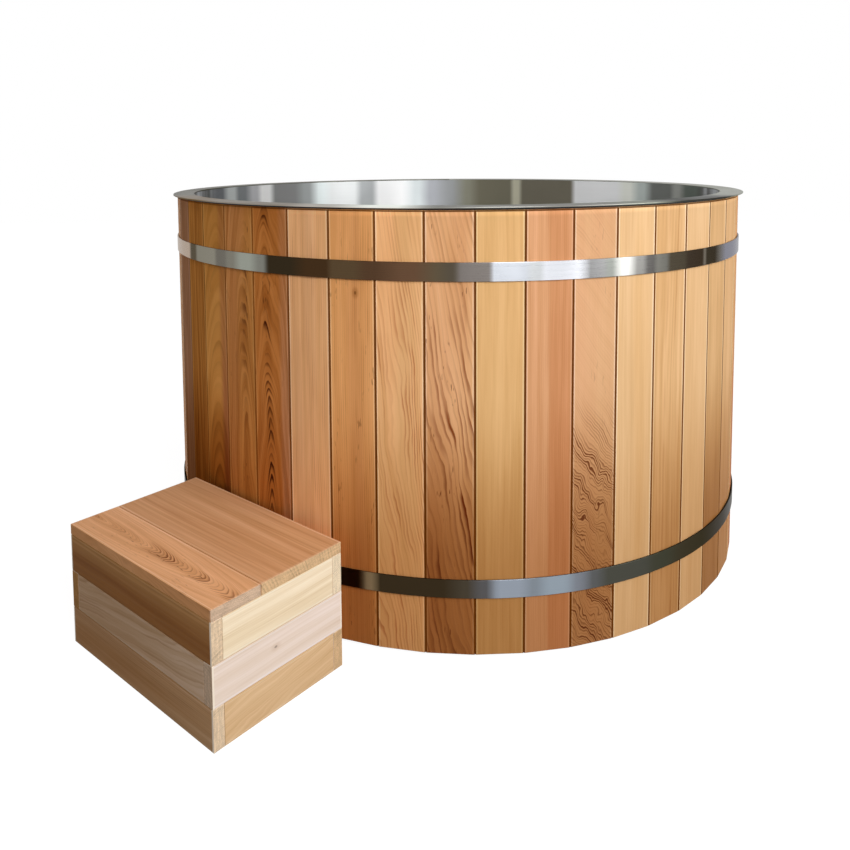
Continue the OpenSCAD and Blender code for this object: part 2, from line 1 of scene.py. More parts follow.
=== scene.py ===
"""Dresses the packed cold plunge tub: cedar staves, steel hoops and liner, plumbing and step."""

import logging
import math
import random
from collections.abc import Callable, Iterable, Sequence
from dataclasses import dataclass, field, replace
from enum import Enum
from functools import partial, reduce

import bmesh
import bpy
from mathutils import Matrix, Vector


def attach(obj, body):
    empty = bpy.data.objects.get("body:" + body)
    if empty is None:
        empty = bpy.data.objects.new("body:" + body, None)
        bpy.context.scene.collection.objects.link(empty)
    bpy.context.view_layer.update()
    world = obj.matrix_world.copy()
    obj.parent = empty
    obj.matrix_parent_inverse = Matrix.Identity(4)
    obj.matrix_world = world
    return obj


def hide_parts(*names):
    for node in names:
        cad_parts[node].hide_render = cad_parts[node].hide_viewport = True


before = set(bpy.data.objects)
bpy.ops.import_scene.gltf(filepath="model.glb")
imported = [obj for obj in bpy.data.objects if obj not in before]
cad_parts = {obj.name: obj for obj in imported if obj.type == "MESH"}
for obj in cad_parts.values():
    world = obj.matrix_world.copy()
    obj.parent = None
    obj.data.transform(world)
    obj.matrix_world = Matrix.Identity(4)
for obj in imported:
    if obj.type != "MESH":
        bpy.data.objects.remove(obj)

LOG = logging.getLogger("plunge_tub")
MM = 0.001

Colour = tuple[float, float, float, float]
Point = tuple[float, float, float]
Triple = tuple[float, float, float]
Flat = tuple[float, float]
Reach = Callable[[float], float]
Screen = tuple[int, int, int]
Socket = bpy.types.NodeSocket
Node = bpy.types.Node
Material = bpy.types.Material
Thing = bpy.types.Object

WHITE: Colour = (1.0, 1.0, 1.0, 1.0)
GREY: Colour = (0.5, 0.5, 0.5, 1.0)

SEED_STEP = 1.7  # sets one board's noise apart from the next one's
RAMP_BANDS = 15  # how many bands fit a colour ramp's 32 stops
SAME_POINT = 1e-7  # points closer than this, in metres, become one


def screen(red: float, green: float, blue: float) -> Colour:
    """Turns a colour as it looks on screen into a shader's linear colour.

    Args:
        red: Red from 0 to 255.
        green: Green from 0 to 255.
        blue: Blue from 0 to 255.

    Returns:
        The linear colour with full alpha.
    """
    parts = []
    for value in (red, green, blue):
        part = value / 255
        parts.append(part / 12.92 if part <= 0.04045 else ((part + 0.055) / 1.055) ** 2.4)
    return parts[0], parts[1], parts[2], 1.0


def label(name: str) -> str:
    """Gives a field's name as a shader group's input shows it."""
    return name.replace("_", " ").title()


# ---- node trees ----


class Graph:
    """A shader node tree with short calls that add nodes and join them."""

    def __init__(self, tree: bpy.types.NodeTree) -> None:
        """Wraps a material's or group's node tree."""
        self.tree = tree

    def add(self, kind: str, **settings: object) -> Node:
        """Adds a node.

        Args:
            kind: Blender's name of the node type.
            **settings: Properties to set on it.

        Returns:
            The new node.
        """
        node = self.tree.nodes.new(kind)
        for key, value in settings.items():
            setattr(node, key, value)
        return node

    def feed(self, socket: Socket, value: object) -> None:
        """Joins a socket to another, or sets its plain value.

        Args:
            socket: The input that is fed.
            value: A socket, or a number, colour or triple.
        """
        if isinstance(value, Socket):
            self.tree.links.new(value, socket)
        else:
            socket.default_value = value

    def put(self, node: Node, values: dict[str, object]) -> None:
        """Feeds a node's inputs by name."""
        for name, value in values.items():
            self.feed(node.inputs[name], value)

    def fed(self, node: Node, values: Iterable[object]) -> Socket:
        """Feeds a node's inputs in order.

        Args:
            node: The node.
            values: Sockets or plain values.

        Returns:
            The node's first output.
        """
        for socket, value in zip(node.inputs, values):
            self.feed(socket, value)
        return node.outputs[0]

    def maths(self, operation: str, *values: object, clamp: bool = False) -> Socket:
        """Adds a Math node over sockets or numbers and gives its result."""
        return self.fed(self.add("ShaderNodeMath", operation=operation, use_clamp=clamp), values)

    def vector(self, operation: str, *values: object) -> Socket:
        """Adds a Vector Math node over sockets or triples and gives its vector."""
        return self.fed(self.add("ShaderNodeVectorMath", operation=operation), values)

    def join(self, x: object, y: object, z: object) -> Socket:
        """Combines three values into a vector."""
        return self.fed(self.add("ShaderNodeCombineXYZ"), (x, y, z))

    def split(self, vector: Socket) -> list[Socket]:
        """Separates a vector into its three values.

        Args:
            vector: The vector.

        Returns:
            Its X, Y and Z.
        """
        node = self.add("ShaderNodeSeparateXYZ")
        self.feed(node.inputs[0], vector)
        return list(node.outputs)

    def blend(self, factor: object, first: object, second: object) -> Socket:
        """Mixes two colours.

        Args:
            factor: How much of the second shows.
            first: The first colour.
            second: The second colour.

        Returns:
            The mixed colour.
        """
        node = self.add("ShaderNodeMix", data_type="RGBA", blend_type="MIX")
        self.feed(node.inputs[0], factor)
        self.feed(node.inputs[6], first)
        self.feed(node.inputs[7], second)
        return node.outputs[2]

    def noise(self, place: Socket, stretch: Point, detail: float = 2.0, rough: float = 0.5) -> Node:
        """Adds a Noise Texture over stretched coordinates.

        Args:
            place: The coordinates.
            stretch: How many waves fit a metre along each axis.
            detail: The noise's detail.
            rough: The noise's roughness.

        Returns:
            The noise node, with its factor first and its colour second.
        """
        node = self.add("ShaderNodeTexNoise")
        spot = self.vector("MULTIPLY", place, stretch)
        self.put(node, {"Vector": spot, "Scale": 1.0, "Detail": detail, "Roughness": rough})
        return node

    def span(
        self, value: object, low: object, high: object, start: object = 0.0, end: object = 1.0,
    ) -> Socket:
        """Maps a value smoothly from low and high to start and end, and holds it beyond them."""
        node = self.add("ShaderNodeMapRange", interpolation_type="SMOOTHSTEP")
        return self.fed(node, (value, low, high, start, end))

    def plus(self, *values: object) -> Socket:
        """Adds values up."""
        return reduce(partial(self.maths, "ADD"), values)

    def less(self, value: object, other: object) -> Socket:
        """Takes one value from another."""
        return self.maths("SUBTRACT", value, other)

    def times(self, *values: object) -> Socket:
        """Multiplies values."""
        return reduce(partial(self.maths, "MULTIPLY"), values)

    def fold(self, value: object, factor: object, more: object) -> Socket:
        """Multiplies a value by a factor and adds more."""
        return self.maths("MULTIPLY_ADD", value, factor, more)

    def swung(self, noise: Socket, force: object, middle: object) -> Socket:
        """Lets a value swing up and down with a noise."""
        return self.fold(self.less(noise, 0.5), force, middle)

    def hypot(self, x: Socket, y: Socket) -> Socket:
        """Gives the distance that X and Y span."""
        return self.maths("SQRT", self.fold(x, x, self.times(y, y)))

    def tinted(self, colour: object, factors: Iterable[object]) -> Socket:
        """Multiplies a colour's red, green and blue by a factor each."""
        return self.vector("MULTIPLY", colour, self.join(*factors))

    def scaled(self, colour: object, value: object) -> Socket:
        """Multiplies a colour by a brightness."""
        return self.tinted(colour, (value, value, value))


class Effect:
    """A shader node group with named inputs and outputs, built once for all the materials."""

    def __init__(self, name: str, inputs: dict[str, object], *extra: str) -> None:
        """Makes the group, still empty, that puts out a colour, a roughness and a height.

        Args:
            name: The group's name.
            inputs: Each input's name, with its usual value or the word Vector.
            *extra: The names of further values that it puts out.
        """
        self.tree = bpy.data.node_groups.new(name, "ShaderNodeTree")
        self.graph = Graph(self.tree)
        face = self.tree.interface
        for title, usual in inputs.items():
            kind = "Vector" if usual == "Vector" else "Color" if isinstance(usual, tuple) else "Float"
            made = face.new_socket(title, in_out="INPUT", socket_type=f"NodeSocket{kind}")
            if kind != "Vector":
                made.default_value = usual
        face.new_socket("Colour", in_out="OUTPUT", socket_type="NodeSocketColor")
        for title in ("Roughness", "Height", *extra):
            face.new_socket(title, in_out="OUTPUT", socket_type="NodeSocketFloat")
        self.given = self.graph.add("NodeGroupInput").outputs
        self.result = self.graph.add("NodeGroupOutput").inputs

    def put_out(self, **values: Socket) -> None:
        """Feeds the group's outputs by name."""
        for name, value in values.items():
            self.graph.feed(self.result[label(name)], value)

    def place(self, graph: Graph, **values: object) -> bpy.types.bpy_prop_collection:
        """Puts the group into a material.

        Args:
            graph: The material's graph.
            **values: Inputs by name, in small letters and with an underscore for each space.

        Returns:
            The group node's outputs.
        """
        node = graph.add("ShaderNodeGroup", node_tree=self.tree)
        graph.put(node, {label(name): value for name, value in values.items()})
        return node.outputs


class Tone(Enum):
    """Colours of the cedar boards, as early wood and late wood."""

    HONEY = (screen(232, 184, 126), screen(196, 140, 76))
    PEACH = (screen(230, 189, 141), screen(204, 146, 92))
    WHEAT = (screen(224, 178, 126), screen(182, 124, 72))
    SALMON = (screen(252, 190, 132), screen(186, 104, 58))
    BLUSH = (screen(219, 161, 116), screen(176, 106, 64))
    TAN = (screen(237, 181, 130), screen(134, 64, 26))
    ROSE = (screen(219, 166, 122), screen(128, 76, 46))
    AMBER = (screen(244, 175, 110), screen(170, 104, 50))
    BRICK = (screen(200, 128, 80), screen(140, 78, 44))
    CLAY = (screen(208, 142, 96), screen(150, 88, 52))
    MOSS = (screen(208, 160, 96), screen(160, 116, 60))
    RUSSET = (screen(208, 130, 64), screen(84, 36, 14))
    OLIVE = (screen(237, 165, 86), screen(148, 96, 42))
    UMBER = (screen(212, 141, 72), screen(112, 60, 28))
    BARK = (screen(217, 142, 68), screen(100, 56, 22))
    SMOKE = (screen(207, 148, 108), screen(104, 64, 38))
    DRAB = (screen(217, 172, 120), screen(156, 112, 64))
    BUFF = (screen(206, 168, 122), screen(150, 108, 66))
    CHESTNUT = (screen(221, 164, 119), screen(128, 74, 42))
    SIENNA = (screen(240, 180, 131), screen(138, 80, 46))
    HAZEL = (screen(218, 163, 116), screen(172, 120, 78))
    WALNUT = (screen(144, 92, 44), screen(118, 74, 36))
    COCOA = (screen(190, 140, 88), screen(138, 94, 56))
    FAWN = (screen(198, 157, 117), screen(150, 108, 76))
    STRAW = (screen(248, 228, 196), screen(228, 200, 158))
    CREAM = (screen(240, 220, 204), screen(220, 194, 174))
    OAT = (screen(226, 189, 145), screen(204, 160, 112))
    CHAFF = (screen(240, 212, 178), screen(216, 180, 140))
    SHELL = (screen(218, 188, 160), screen(186, 148, 118))


@dataclass(frozen=True)
class Grain:
    """How the growth rings run through a board, in metres.

    Attributes:
        pith_across: How far the pith lies to the side of the board's middle.
        pith_depth: How deep the pith lies behind the show face, at the board's start.
        lean_across: How far the pith drifts sideways in a metre.
        lean_depth: How far the pith drifts deeper in a metre.
        spacing: The width of a growth ring.
        narrow: How much the rings are squeezed across the board.
        point: How pointed the flames are.
        core: How far from the pith the figure shows fully.
        sway: The slow wander of the grain.
        curl: The quick wander of the grain in its curly stretch.
        curl_height: Where the middle of the curly stretch lies along the board.
        curl_reach: Half the length of the curly stretch.
        calm: How much of the figure stays outside the curly stretch.
        figure: How dark the late wood shows.
        streak: How strong the long streaks show.
        fleck: How strong the dark flecks show.
    """

    pith_across: float = 0.3
    pith_depth: float = 0.12
    lean_across: float = 0.0
    lean_depth: float = 0.0
    spacing: float = 0.007
    narrow: float = 1.0
    point: float = 0.0
    core: float = 9.0
    sway: float = 0.03
    curl: float = 0.0
    curl_height: float = 0.3
    curl_reach: float = 0.3
    calm: float = 1.0
    figure: float = 0.4
    streak: float = 0.5
    fleck: float = 0.0


class Figure(Enum):
    """Kinds of grain that the boards show."""

    PLAIN = Grain(figure=0.22, streak=0.32)
    FINE = Grain(spacing=0.004, figure=0.4, streak=0.55)
    STRAIGHT = Grain(spacing=0.009, figure=0.5, streak=0.8)
    CATHEDRAL = Grain(
        pith_across=0.004, pith_depth=0.02, lean_depth=0.12, spacing=0.0055, sway=0.03, figure=0.9,
        fleck=0.3)
    FLAME = Grain(
        pith_across=0.002, pith_depth=0.03, lean_depth=0.15, spacing=0.0044, narrow=1.9, point=0.03,
        core=0.01, sway=0.06, curl=0.01, curl_height=0.5, curl_reach=2.0, figure=1.5, streak=1.7,
        fleck=0.9)
    DIAGONAL = Grain(
        pith_across=-0.16, lean_across=-0.24, spacing=0.012, sway=0.1, curl=0.02, figure=1.2, fleck=0.8)
    WAVY = Grain(
        pith_across=-0.2, lean_across=-0.12, spacing=0.0066, sway=0.11, curl=0.017, curl_reach=0.6,
        figure=0.85)
    CURLY = Grain(
        pith_across=-0.25, lean_across=-0.75, spacing=0.0062, sway=0.06, curl=0.095, calm=0.05,
        figure=2.3, streak=0.15, fleck=0.2)

    def but(self, **changes: float) -> Grain:
        """Gives the figure's grain with some values changed."""
        return replace(self.value, **changes)


class CedarEffect(Effect):
    """Planed cedar: growth rings round a pith, streaks, fibre, flecks, painted highlights on its edges,
    painted shade towards its foot, painted light and a painted shadow line at its top end, and joints
    darkened as dirt and painted shade.

    Each triple holds a value for red, green and blue, or for across, deep and along.
    """

    SEED_SHIFT: Point = (7.13, 3.71, 1.37)
    STREAK_POWERS: Point = (0.75, 1.05, 1.6)
    # painted shade towards a board's foot: red, green and blue are multiplied by these bases, raised to
    # the shade's strength
    FOOT_SHADE_TINT: Point = (0.37, 0.23, 0.12)
    SIDE_LOSS: Point = (-0.17, -0.24, -0.36)
    # painted highlight: how much red, green and blue gain in the light band just inside a show face's
    # long edges
    ARRIS_HIGHLIGHT_GAIN: Point = (0.5, 1.1, 2.0)
    # painted highlight: the colour along the edges of a board's ends
    CORNER_HIGHLIGHT_TONE: Colour = (1.0, 0.88, 0.72, 1.0)
    # joint colour: dirt and painted shade in the joints, and the painted shadow line under the rim
    JOINT_DIRT_AND_SHADE_TONE: Colour = (0.15, 0.036, 0.001, 1.0)

    def __init__(self) -> None:
        """Builds the group, from the rings in the wood to its edges."""
        super().__init__(
            "cedar_board",
            {
                "Place": "Vector", "Facing": "Vector", "Early": GREY, "Late": GREY, "Second": GREY,
                "End": GREY, "Split": 9.0, "Split Soft": 0.004, "Drift": 0.0,
                **{label(name): usual for name, usual in vars(Grain()).items()},
                "Knot Across": 9.0, "Knot Along": 9.0, "Half Width": 0.05, "Length": 9.0, "Joint": 0.0,
                "Arris": 0.3, "Corner": 0.0, "Foot": 0.0, "Sheen": 0.04, "Seed": 0.0,
            },
            "Gloss",
        )
        g, given = self.graph, self.given
        self.across, self.depth, self.along = g.split(given["Place"])
        seed = given["Seed"]
        moved = g.vector("MULTIPLY", g.join(seed, seed, seed), self.SEED_SHIFT)
        self.spot = g.vector("ADD", given["Place"], moved)
        self.cloud = self.cover((11, 11, 2.2))
        self.fibre = self.cover((620, 620, 11), 2.0, 0.6)
        reach = g.maths("ABSOLUTE", g.less(self.along, given["Curl Height"]))
        self.zone = g.span(g.maths("DIVIDE", reach, given["Curl Reach"]), 0.35, 1.0, 1.0, 0.0)
        self.slow = self.wander((7, 7, 1.3), 2.0)
        self.quick = self.wander((25, 25, 12), 2.5)
        from_pith, self.core = self.pith()
        self.lines = g.join(from_pith, self.along, seed)
        self.ring = self.rings(from_pith)
        wood = self.marked(self.lit(self.figured(self.toned())))
        wood, end, pores = self.sided(wood)
        wood, groove = self.edged(wood, end)
        gloss = g.swung(self.fibre, 0.2, g.fold(self.ring, 0.08, 0.54))
        relief = g.fold(self.ring, -0.35, g.times(self.fibre, 0.8))
        self.put_out(
            colour=wood,
            roughness=g.fold(g.maths("MAXIMUM", end, groove), 0.4, gloss),
            height=g.fold(pores, g.times(end, 1.2), relief),
            gloss=g.times(g.less(1.0, groove), given["Sheen"]),
        )

    def cover(self, stretch: Point, detail: float = 2.0, rough: float = 0.5) -> Socket:
        """Gives a noise over the board."""
        return self.graph.noise(self.spot, stretch, detail, rough).outputs[0]

    def wander(self, stretch: Point, detail: float) -> list[Socket]:
        """Gives how far the grain wanders across, deep and along, from -0.5 to 0.5."""
        noise = self.graph.noise(self.spot, stretch, detail).outputs[1]
        return self.graph.split(self.graph.vector("SUBTRACT", noise, (0.5, 0.5, 0.5)))

    def pith(self) -> tuple[Socket, Socket]:
        """Measures from the pith.

        Returns:
            How far a point is from the pith, and how fully the figure shows there.
        """
        g, given = self.graph, self.given
        curl = g.times(given["Curl"], self.zone)
        legs = []
        ways = zip(("Across", "Depth"), (self.across, self.depth), self.slow, self.quick)
        for way, place, slow, quick in ways:
            pith = g.fold(self.along, given[f"Lean {way}"], given[f"Pith {way}"])
            bend = g.fold(quick, curl, g.times(slow, given["Sway"]))
            legs.append(g.plus(g.less(place, pith), bend))
        beside = g.maths("ABSOLUTE", legs[0])
        core = g.span(g.less(beside, given["Core"]), -0.006, 0.006, 1.0, 0.25)
        point = g.times(beside, given["Point"])
        narrow = g.times(legs[0], given["Narrow"])
        square = g.fold(legs[1], legs[1], point)
        return g.maths("SQRT", g.fold(narrow, narrow, square)), core

    def rings(self, from_pith: Socket) -> Socket:
        """Draws the growth rings, each with its own force.

        Args:
            from_pith: How far a point is from the pith.

        Returns:
            How much late wood shows.
        """
        g, given = self.graph, self.given
        count = g.maths("DIVIDE", from_pith, given["Spacing"])
        turn = g.plus(count, g.times(given["Seed"], 3.3))
        part = g.maths("FRACT", turn)
        number = g.add("ShaderNodeTexWhiteNoise", noise_dimensions="1D")
        g.feed(number.inputs["W"], g.maths("FLOOR", turn))
        swell = g.span(g.noise(self.lines, (55, 7, 1.9), 2.0).outputs[0], 0.38, 0.64)
        rise = g.span(part, g.fold(swell, -0.5, 0.58), 0.88)
        fall = g.span(part, 0.9, 1.0, 1.0, 0.0)
        return g.times(rise, fall, g.fold(number.outputs[0], 0.7, 0.3), g.fold(swell, 0.8, 0.4))

    def toned(self) -> Socket:
        """Lays the early wood's two tones.

        Returns:
            The colour.
        """
        g, given = self.graph, self.given
        soft = given["Split Soft"]
        wavy = g.plus(self.across, g.times(self.slow[0], 0.02))
        other = g.span(g.less(wavy, given["Split"]), g.times(soft, -1), soft)
        other = g.times(other, g.span(self.along, 0.3, 0.85, 1.0, 0.55))
        patch = g.span(self.cover((17, 17, 0.9), 2.5), 0.38, 0.66)
        wood = g.blend(other, given["Early"], given["Second"])
        return g.blend(g.times(patch, given["Drift"]), wood, given["Second"])

    def figured(self, wood: Socket) -> Socket:
        """Lays the rings' late wood over the early wood.

        Args:
            wood: The colour so far.

        Returns:
            The new colour.
        """
        g, given = self.graph, self.given
        calm = g.fold(self.zone, g.less(1.0, given["Calm"]), given["Calm"])
        figure = g.times(given["Figure"], g.span(self.cloud, 0.25, 0.6, 0.45, 1.0), calm, self.core)
        return g.blend(g.maths("MULTIPLY", self.ring, figure, clamp=True), wood, given["Late"])

    def lit(self, wood: Socket) -> Socket:
        """Lightens and darkens the wood in streaks, and darkens and reddens it towards its foot as
        painted shade.

        Args:
            wood: The colour so far.

        Returns:
            The new colour.
        """
        g, given = self.graph, self.given
        streak = g.noise(self.lines, (95, 1.6, 1.9), 3.0, 0.6).outputs[0]
        light = g.swung(streak, given["Streak"], 1.0)
        light = g.swung(self.cloud, 0.3, g.swung(self.fibre, 0.16, light))
        flamed = g.maths("LESS_THAN", given["Core"], 1.0)
        heart = g.times(g.less(self.core, 0.25), flamed)
        light = g.fold(heart, -0.16, light)
        wood = g.tinted(wood, (g.maths("POWER", light, power) for power in self.STREAK_POWERS))
        # painted shade: darker and redder from 0.56 m down, fully below 0.15 m, standing in for the light
        # that falls off towards the floor
        foot = g.times(g.span(self.along, 0.15, 0.56, 1.0, 0.0), given["Foot"])
        return g.tinted(wood, (g.maths("POWER", part, foot) for part in self.FOOT_SHADE_TINT))

    def marked(self, wood: Socket) -> Socket:
        """Adds dark flecks and a small knot.

        Args:
            wood: The colour so far.

        Returns:
            The new colour.
        """
        g, given, late = self.graph, self.given, self.given["Late"]
        speck = g.span(self.cover((300, 300, 42), 1.0), 0.64, 0.72)
        cluster = g.span(self.cover((26, 26, 7), 1.0), 0.5, 0.62)
        fleck = g.times(speck, cluster, given["Fleck"], self.core)
        wood = g.blend(fleck, wood, g.scaled(late, 0.5))
        beside = g.less(self.across, given["Knot Across"])
        above = g.times(g.less(self.along, given["Knot Along"]), 0.6)
        knot = g.fold(self.quick[0], 0.006, g.hypot(beside, above))
        wood = g.blend(g.span(knot, 0.002, 0.009, 0.55, 0.0), wood, late)
        return g.blend(g.span(knot, 0.0008, 0.0022, 0.7, 0.0), wood, g.scaled(late, 0.4))

    def sided(self, wood: Socket) -> tuple[Socket, Socket, Socket]:
        """Darkens the board's sides and saws its ends.

        Args:
            wood: The colour so far.

        Returns:
            The new colour, where end grain shows, and the end grain's roughness.
        """
        g, given = self.graph, self.given
        facing = g.split(given["Facing"])
        side, end = (g.span(g.maths("ABSOLUTE", facing[k]), 0.55, 0.85) for k in (0, 2))
        wood = g.tinted(wood, (g.fold(side, loss, 1.0) for loss in self.SIDE_LOSS))
        pores = self.cover((420, 420, 420), 3.0, 0.7)
        sawn = g.span(self.cover((30, 260, 30)), 0.4, 0.62, 0.9, 1.03)
        light = g.times(g.span(pores, 0.3, 0.7, 0.84, 1.08), sawn)
        tone = g.scaled(given["End"], g.fold(self.ring, -0.22, light))
        return g.blend(end, wood, tone), end, pores

    def edged(self, wood: Socket, end: Socket) -> tuple[Socket, Socket]:
        """Paints highlights along the edges, and light and a shadow line at a joined board's top end, and
        darkens its joints as dirt and painted shade.

        Args:
            wood: The colour so far.
            end: Where end grain shows.

        Returns:
            The new colour, and where the dark joints and the painted shadow line lie.
        """
        g, given = self.graph, self.given
        inside = g.less(given["Half Width"], g.maths("ABSOLUTE", self.across))
        left = g.less(given["Length"], self.along)
        ended = g.maths("MINIMUM", self.along, left)
        lengthwise = g.less(1.0, end)
        flat = g.times(g.span(self.depth, 0.0008, 0.003, 1.0, 0.0), lengthwise)
        # painted highlight: a light band about 2 to 6 mm in from each long edge of the show face
        band = g.times(g.span(inside, 0.002, 0.003), g.span(inside, 0.0036, 0.006, 1.0, 0.0))
        edge = g.times(band, flat, given["Arris"])
        wood = g.tinted(wood, (g.fold(edge, gain, 1.0) for gain in self.ARRIS_HIGHLIGHT_GAIN))
        # painted light: a joined board is lightened within 15 mm of its top end, most within 5 mm, to
        # offset the rim's cast shadow
        under = g.span(left, 0.005, 0.015, 0.26, 0.0)
        wood = g.scaled(wood, g.fold(under, given["Joint"], 1.0))
        # painted highlight along the edges of the board's ends, within 3 to 4.8 mm
        corner = g.times(g.span(ended, 0.003, 0.0048, 1.0, 0.0), given["Corner"], lengthwise)
        wood = g.blend(corner, wood, self.CORNER_HIGHLIGHT_TONE)
        # the joints are darkened, partly as dirt and partly as painted shade
        beside = g.span(inside, 0.0016, 0.003, 1.0, 0.0)
        groove = g.maths("MAXIMUM", beside, g.span(self.depth, 0.0008, 0.002))
        # painted shadow: a dark line within 4 mm of a joined board's ends, which on the staves lies under
        # the rim
        groove = g.maths("MAXIMUM", groove, g.span(ended, 0.0028, 0.0042, 1.0, 0.0))
        groove = g.times(groove, g.span(self.depth, 0.0242, 0.0238), lengthwise, given["Joint"])
        return g.blend(groove, wood, self.JOINT_DIRT_AND_SHADE_TONE), groove


class BrushedEffect(Effect):
    """Brushed metal: long scratches along a flow, with faint smears of handling."""

    def __init__(self) -> None:
        """Builds the group."""
        super().__init__(
            "brushed_metal",
            {"Flow": "Vector", "Place": "Vector", "Base": GREY, "Depth": 0.12, "Rough": 0.3},
        )
        g, given = self.graph, self.given
        fine = g.noise(given["Flow"], (2.5, 2.5, 2600), 2.0, 0.6).outputs[0]
        broad = g.noise(given["Flow"], (1.2, 1.2, 340), 2.0, 0.6).outputs[0]
        smear = g.noise(given["Place"], (9, 9, 9), 4.0, 0.6).outputs[0]
        line = g.plus(g.times(fine, 0.6), g.times(broad, 0.4))
        light = g.swung(smear, 0.06, g.swung(line, given["Depth"], 1.0))
        rough = g.swung(line, 0.18, given["Rough"])
        self.put_out(
            colour=g.scaled(given["Base"], light),
            roughness=g.fold(g.span(smear, 0.45, 0.75), 0.06, rough),
            height=line,
        )


class MottledEffect(Effect):
    """Uneven moulded or cast skin: soft patches and fine grit."""

    def __init__(self) -> None:
        """Builds the group."""
        super().__init__(
            "mottled_skin",
            {"Place": "Vector", "Base": GREY, "Patch": GREY, "Size": 60.0, "Grit": 0.5, "Rough": 0.5},
        )
        g, given = self.graph, self.given
        spot = g.scaled(given["Place"], given["Size"])
        patch = g.noise(spot, (1, 1, 1), 4.0, 0.6).outputs[0]
        grit = g.noise(spot, (22, 22, 22), 2.0, 0.6).outputs[0]
        tone = g.blend(g.span(patch, 0.38, 0.68), given["Base"], given["Patch"])
        light = g.swung(grit, g.times(given["Grit"], 0.5), 1.0)
        self.put_out(
            colour=g.scaled(tone, light),
            roughness=g.swung(patch, 0.3, given["Rough"]),
            height=g.fold(grit, given["Grit"], patch),
        )


CEDAR = CedarEffect()
BRUSHED = BrushedEffect()
MOTTLED = MottledEffect()


def new_material(name: str) -> tuple[Material, Graph, Node]:
    """Makes a material with its Principled shader ready.

    Args:
        name: The material's name.

    Returns:
        The material, its graph and its shader node.
    """
    material = bpy.data.materials.new(name)
    material.use_nodes = True
    tree = material.node_tree
    return material, Graph(tree), tree.nodes["Principled BSDF"]


def laid(graph: Graph, vector: Socket, lay: Matrix) -> Socket:
    """Turns a vector by a fixed rotation.

    Args:
        graph: The material's graph.
        vector: The vector to turn.
        lay: The rotation, whose rows give the new axes.

    Returns:
        The turned vector.
    """
    rows = []
    for row in lay.to_3x3():
        node = graph.add("ShaderNodeVectorMath", operation="DOT_PRODUCT")
        graph.fed(node, (vector, row))
        rows.append(node.outputs["Value"])
    return graph.join(*rows)


def dress(graph: Graph, shader: Node, out: object, bump: float, depth: float) -> None:
    """Joins an effect's colour, roughness and height to a shader.

    Args:
        graph: The material's graph.
        shader: The Principled node.
        out: The effect's outputs.
        bump: The bump's strength.
        depth: The bump's depth in metres.
    """
    relief = graph.add("ShaderNodeBump")
    graph.put(relief, {"Strength": bump, "Distance": depth, "Height": out["Height"]})
    given = {"Base Color": out["Colour"], "Roughness": out["Roughness"], "Normal": relief.outputs[0]}
    graph.put(shader, given)


@dataclass(frozen=True)
class Cedar:
    """A cedar board's finish: its tones, its grain and where its second tone starts.

    Attributes:
        tone: The board's main colours.
        grain: How its rings run.
        second: The tone on the far side of the split.
        split: Where the second tone starts across the board, in metres.
        soft: Half the width of that change, in metres.
        drift: How much of the second tone wanders into the first.
        foot: How strong the painted shade is that makes the wood darker and redder at its lower end.
        sheen: How much it reflects.
        end: The colour of its end grain, or none for the main tone's.
        knot: Where a small knot lies across and along the board, in metres.
        joint: How dark its joints with its neighbours are, as dirt and painted shade, where it has any;
            it also sets the painted light and painted shadow line at its top end.
        seed: What sets this board's noise apart.
    """

    tone: Tone = Tone.TAN
    grain: Grain = Figure.PLAIN.value
    second: Tone | None = None
    split: float = 9.0
    soft: float = 0.004
    drift: float = 0.0
    foot: float = 0.0
    sheen: float = 0.04
    end: Tone | None = None
    knot: Flat = (9.0, 9.0)
    joint: float = 0.9
    seed: float = 0.0

    def material(
        self, name: str, half_width: float, lay: Matrix | None = None, joined: bool = False,
        row: float = 0.0, length: float = 9000.0, arris: float = 0.3, corner: float = 0.0,
    ) -> Material:
        """Makes the board's material. Its lengths are in millimetres.

        Args:
            name: The material's name.
            half_width: Half the board's width, for the painted highlights and dark joints along its
                edges.
            lay: Turns the object's coordinates to across, deep and along the board.
            joined: Whether its long edges are joints with its neighbours.
            row: From one board to the next, where one object holds a row of boards.
            length: Where the board ends.
            arris: How strong the painted highlight along its long edges is.
            corner: How strong the painted highlight along its ends' edges is.

        Returns:
            The material.
        """
        material, g, shader = new_material(name)
        where = g.add("ShaderNodeTexCoord")
        place, facing = where.outputs["Object"], where.outputs["Normal"]
        if lay is not None:
            place, facing = laid(g, place, lay), laid(g, facing, lay)
        seed = self.seed
        if row:
            across, depth, along = g.split(place)
            number = g.maths("ROUND", g.maths("DIVIDE", across, row * MM))
            place = g.join(g.fold(number, -row * MM, across), depth, along)
            seed = g.fold(number, SEED_STEP, self.seed)
        out = CEDAR.place(
            g, place=place, facing=facing, early=self.tone.value[0], late=self.tone.value[1],
            second=(self.second or self.tone).value[0], end=(self.end or self.tone).value[0],
            split=self.split, split_soft=self.soft, drift=self.drift, **vars(self.grain),
            knot_across=self.knot[0], knot_along=self.knot[1], half_width=half_width * MM,
            length=length * MM, joint=self.joint if joined else 0.0, arris=arris, corner=corner,
            foot=self.foot, sheen=self.sheen, seed=seed,
        )
        dress(g, shader, out, bump=0.25, depth=0.0006)
        g.feed(shader.inputs["Specular IOR Level"], out["Gloss"])
        return material


class Brush(Enum):
    """Which way a metal piece was brushed."""

    ROUND_WALL = "round the tub on an upright wall"
    ROUND_RIM = "round the tub on a flat ring"
    ALONG_X = "along the X axis"
    SPUN = "round the piece's own axis"
    PLAIN = "every way"


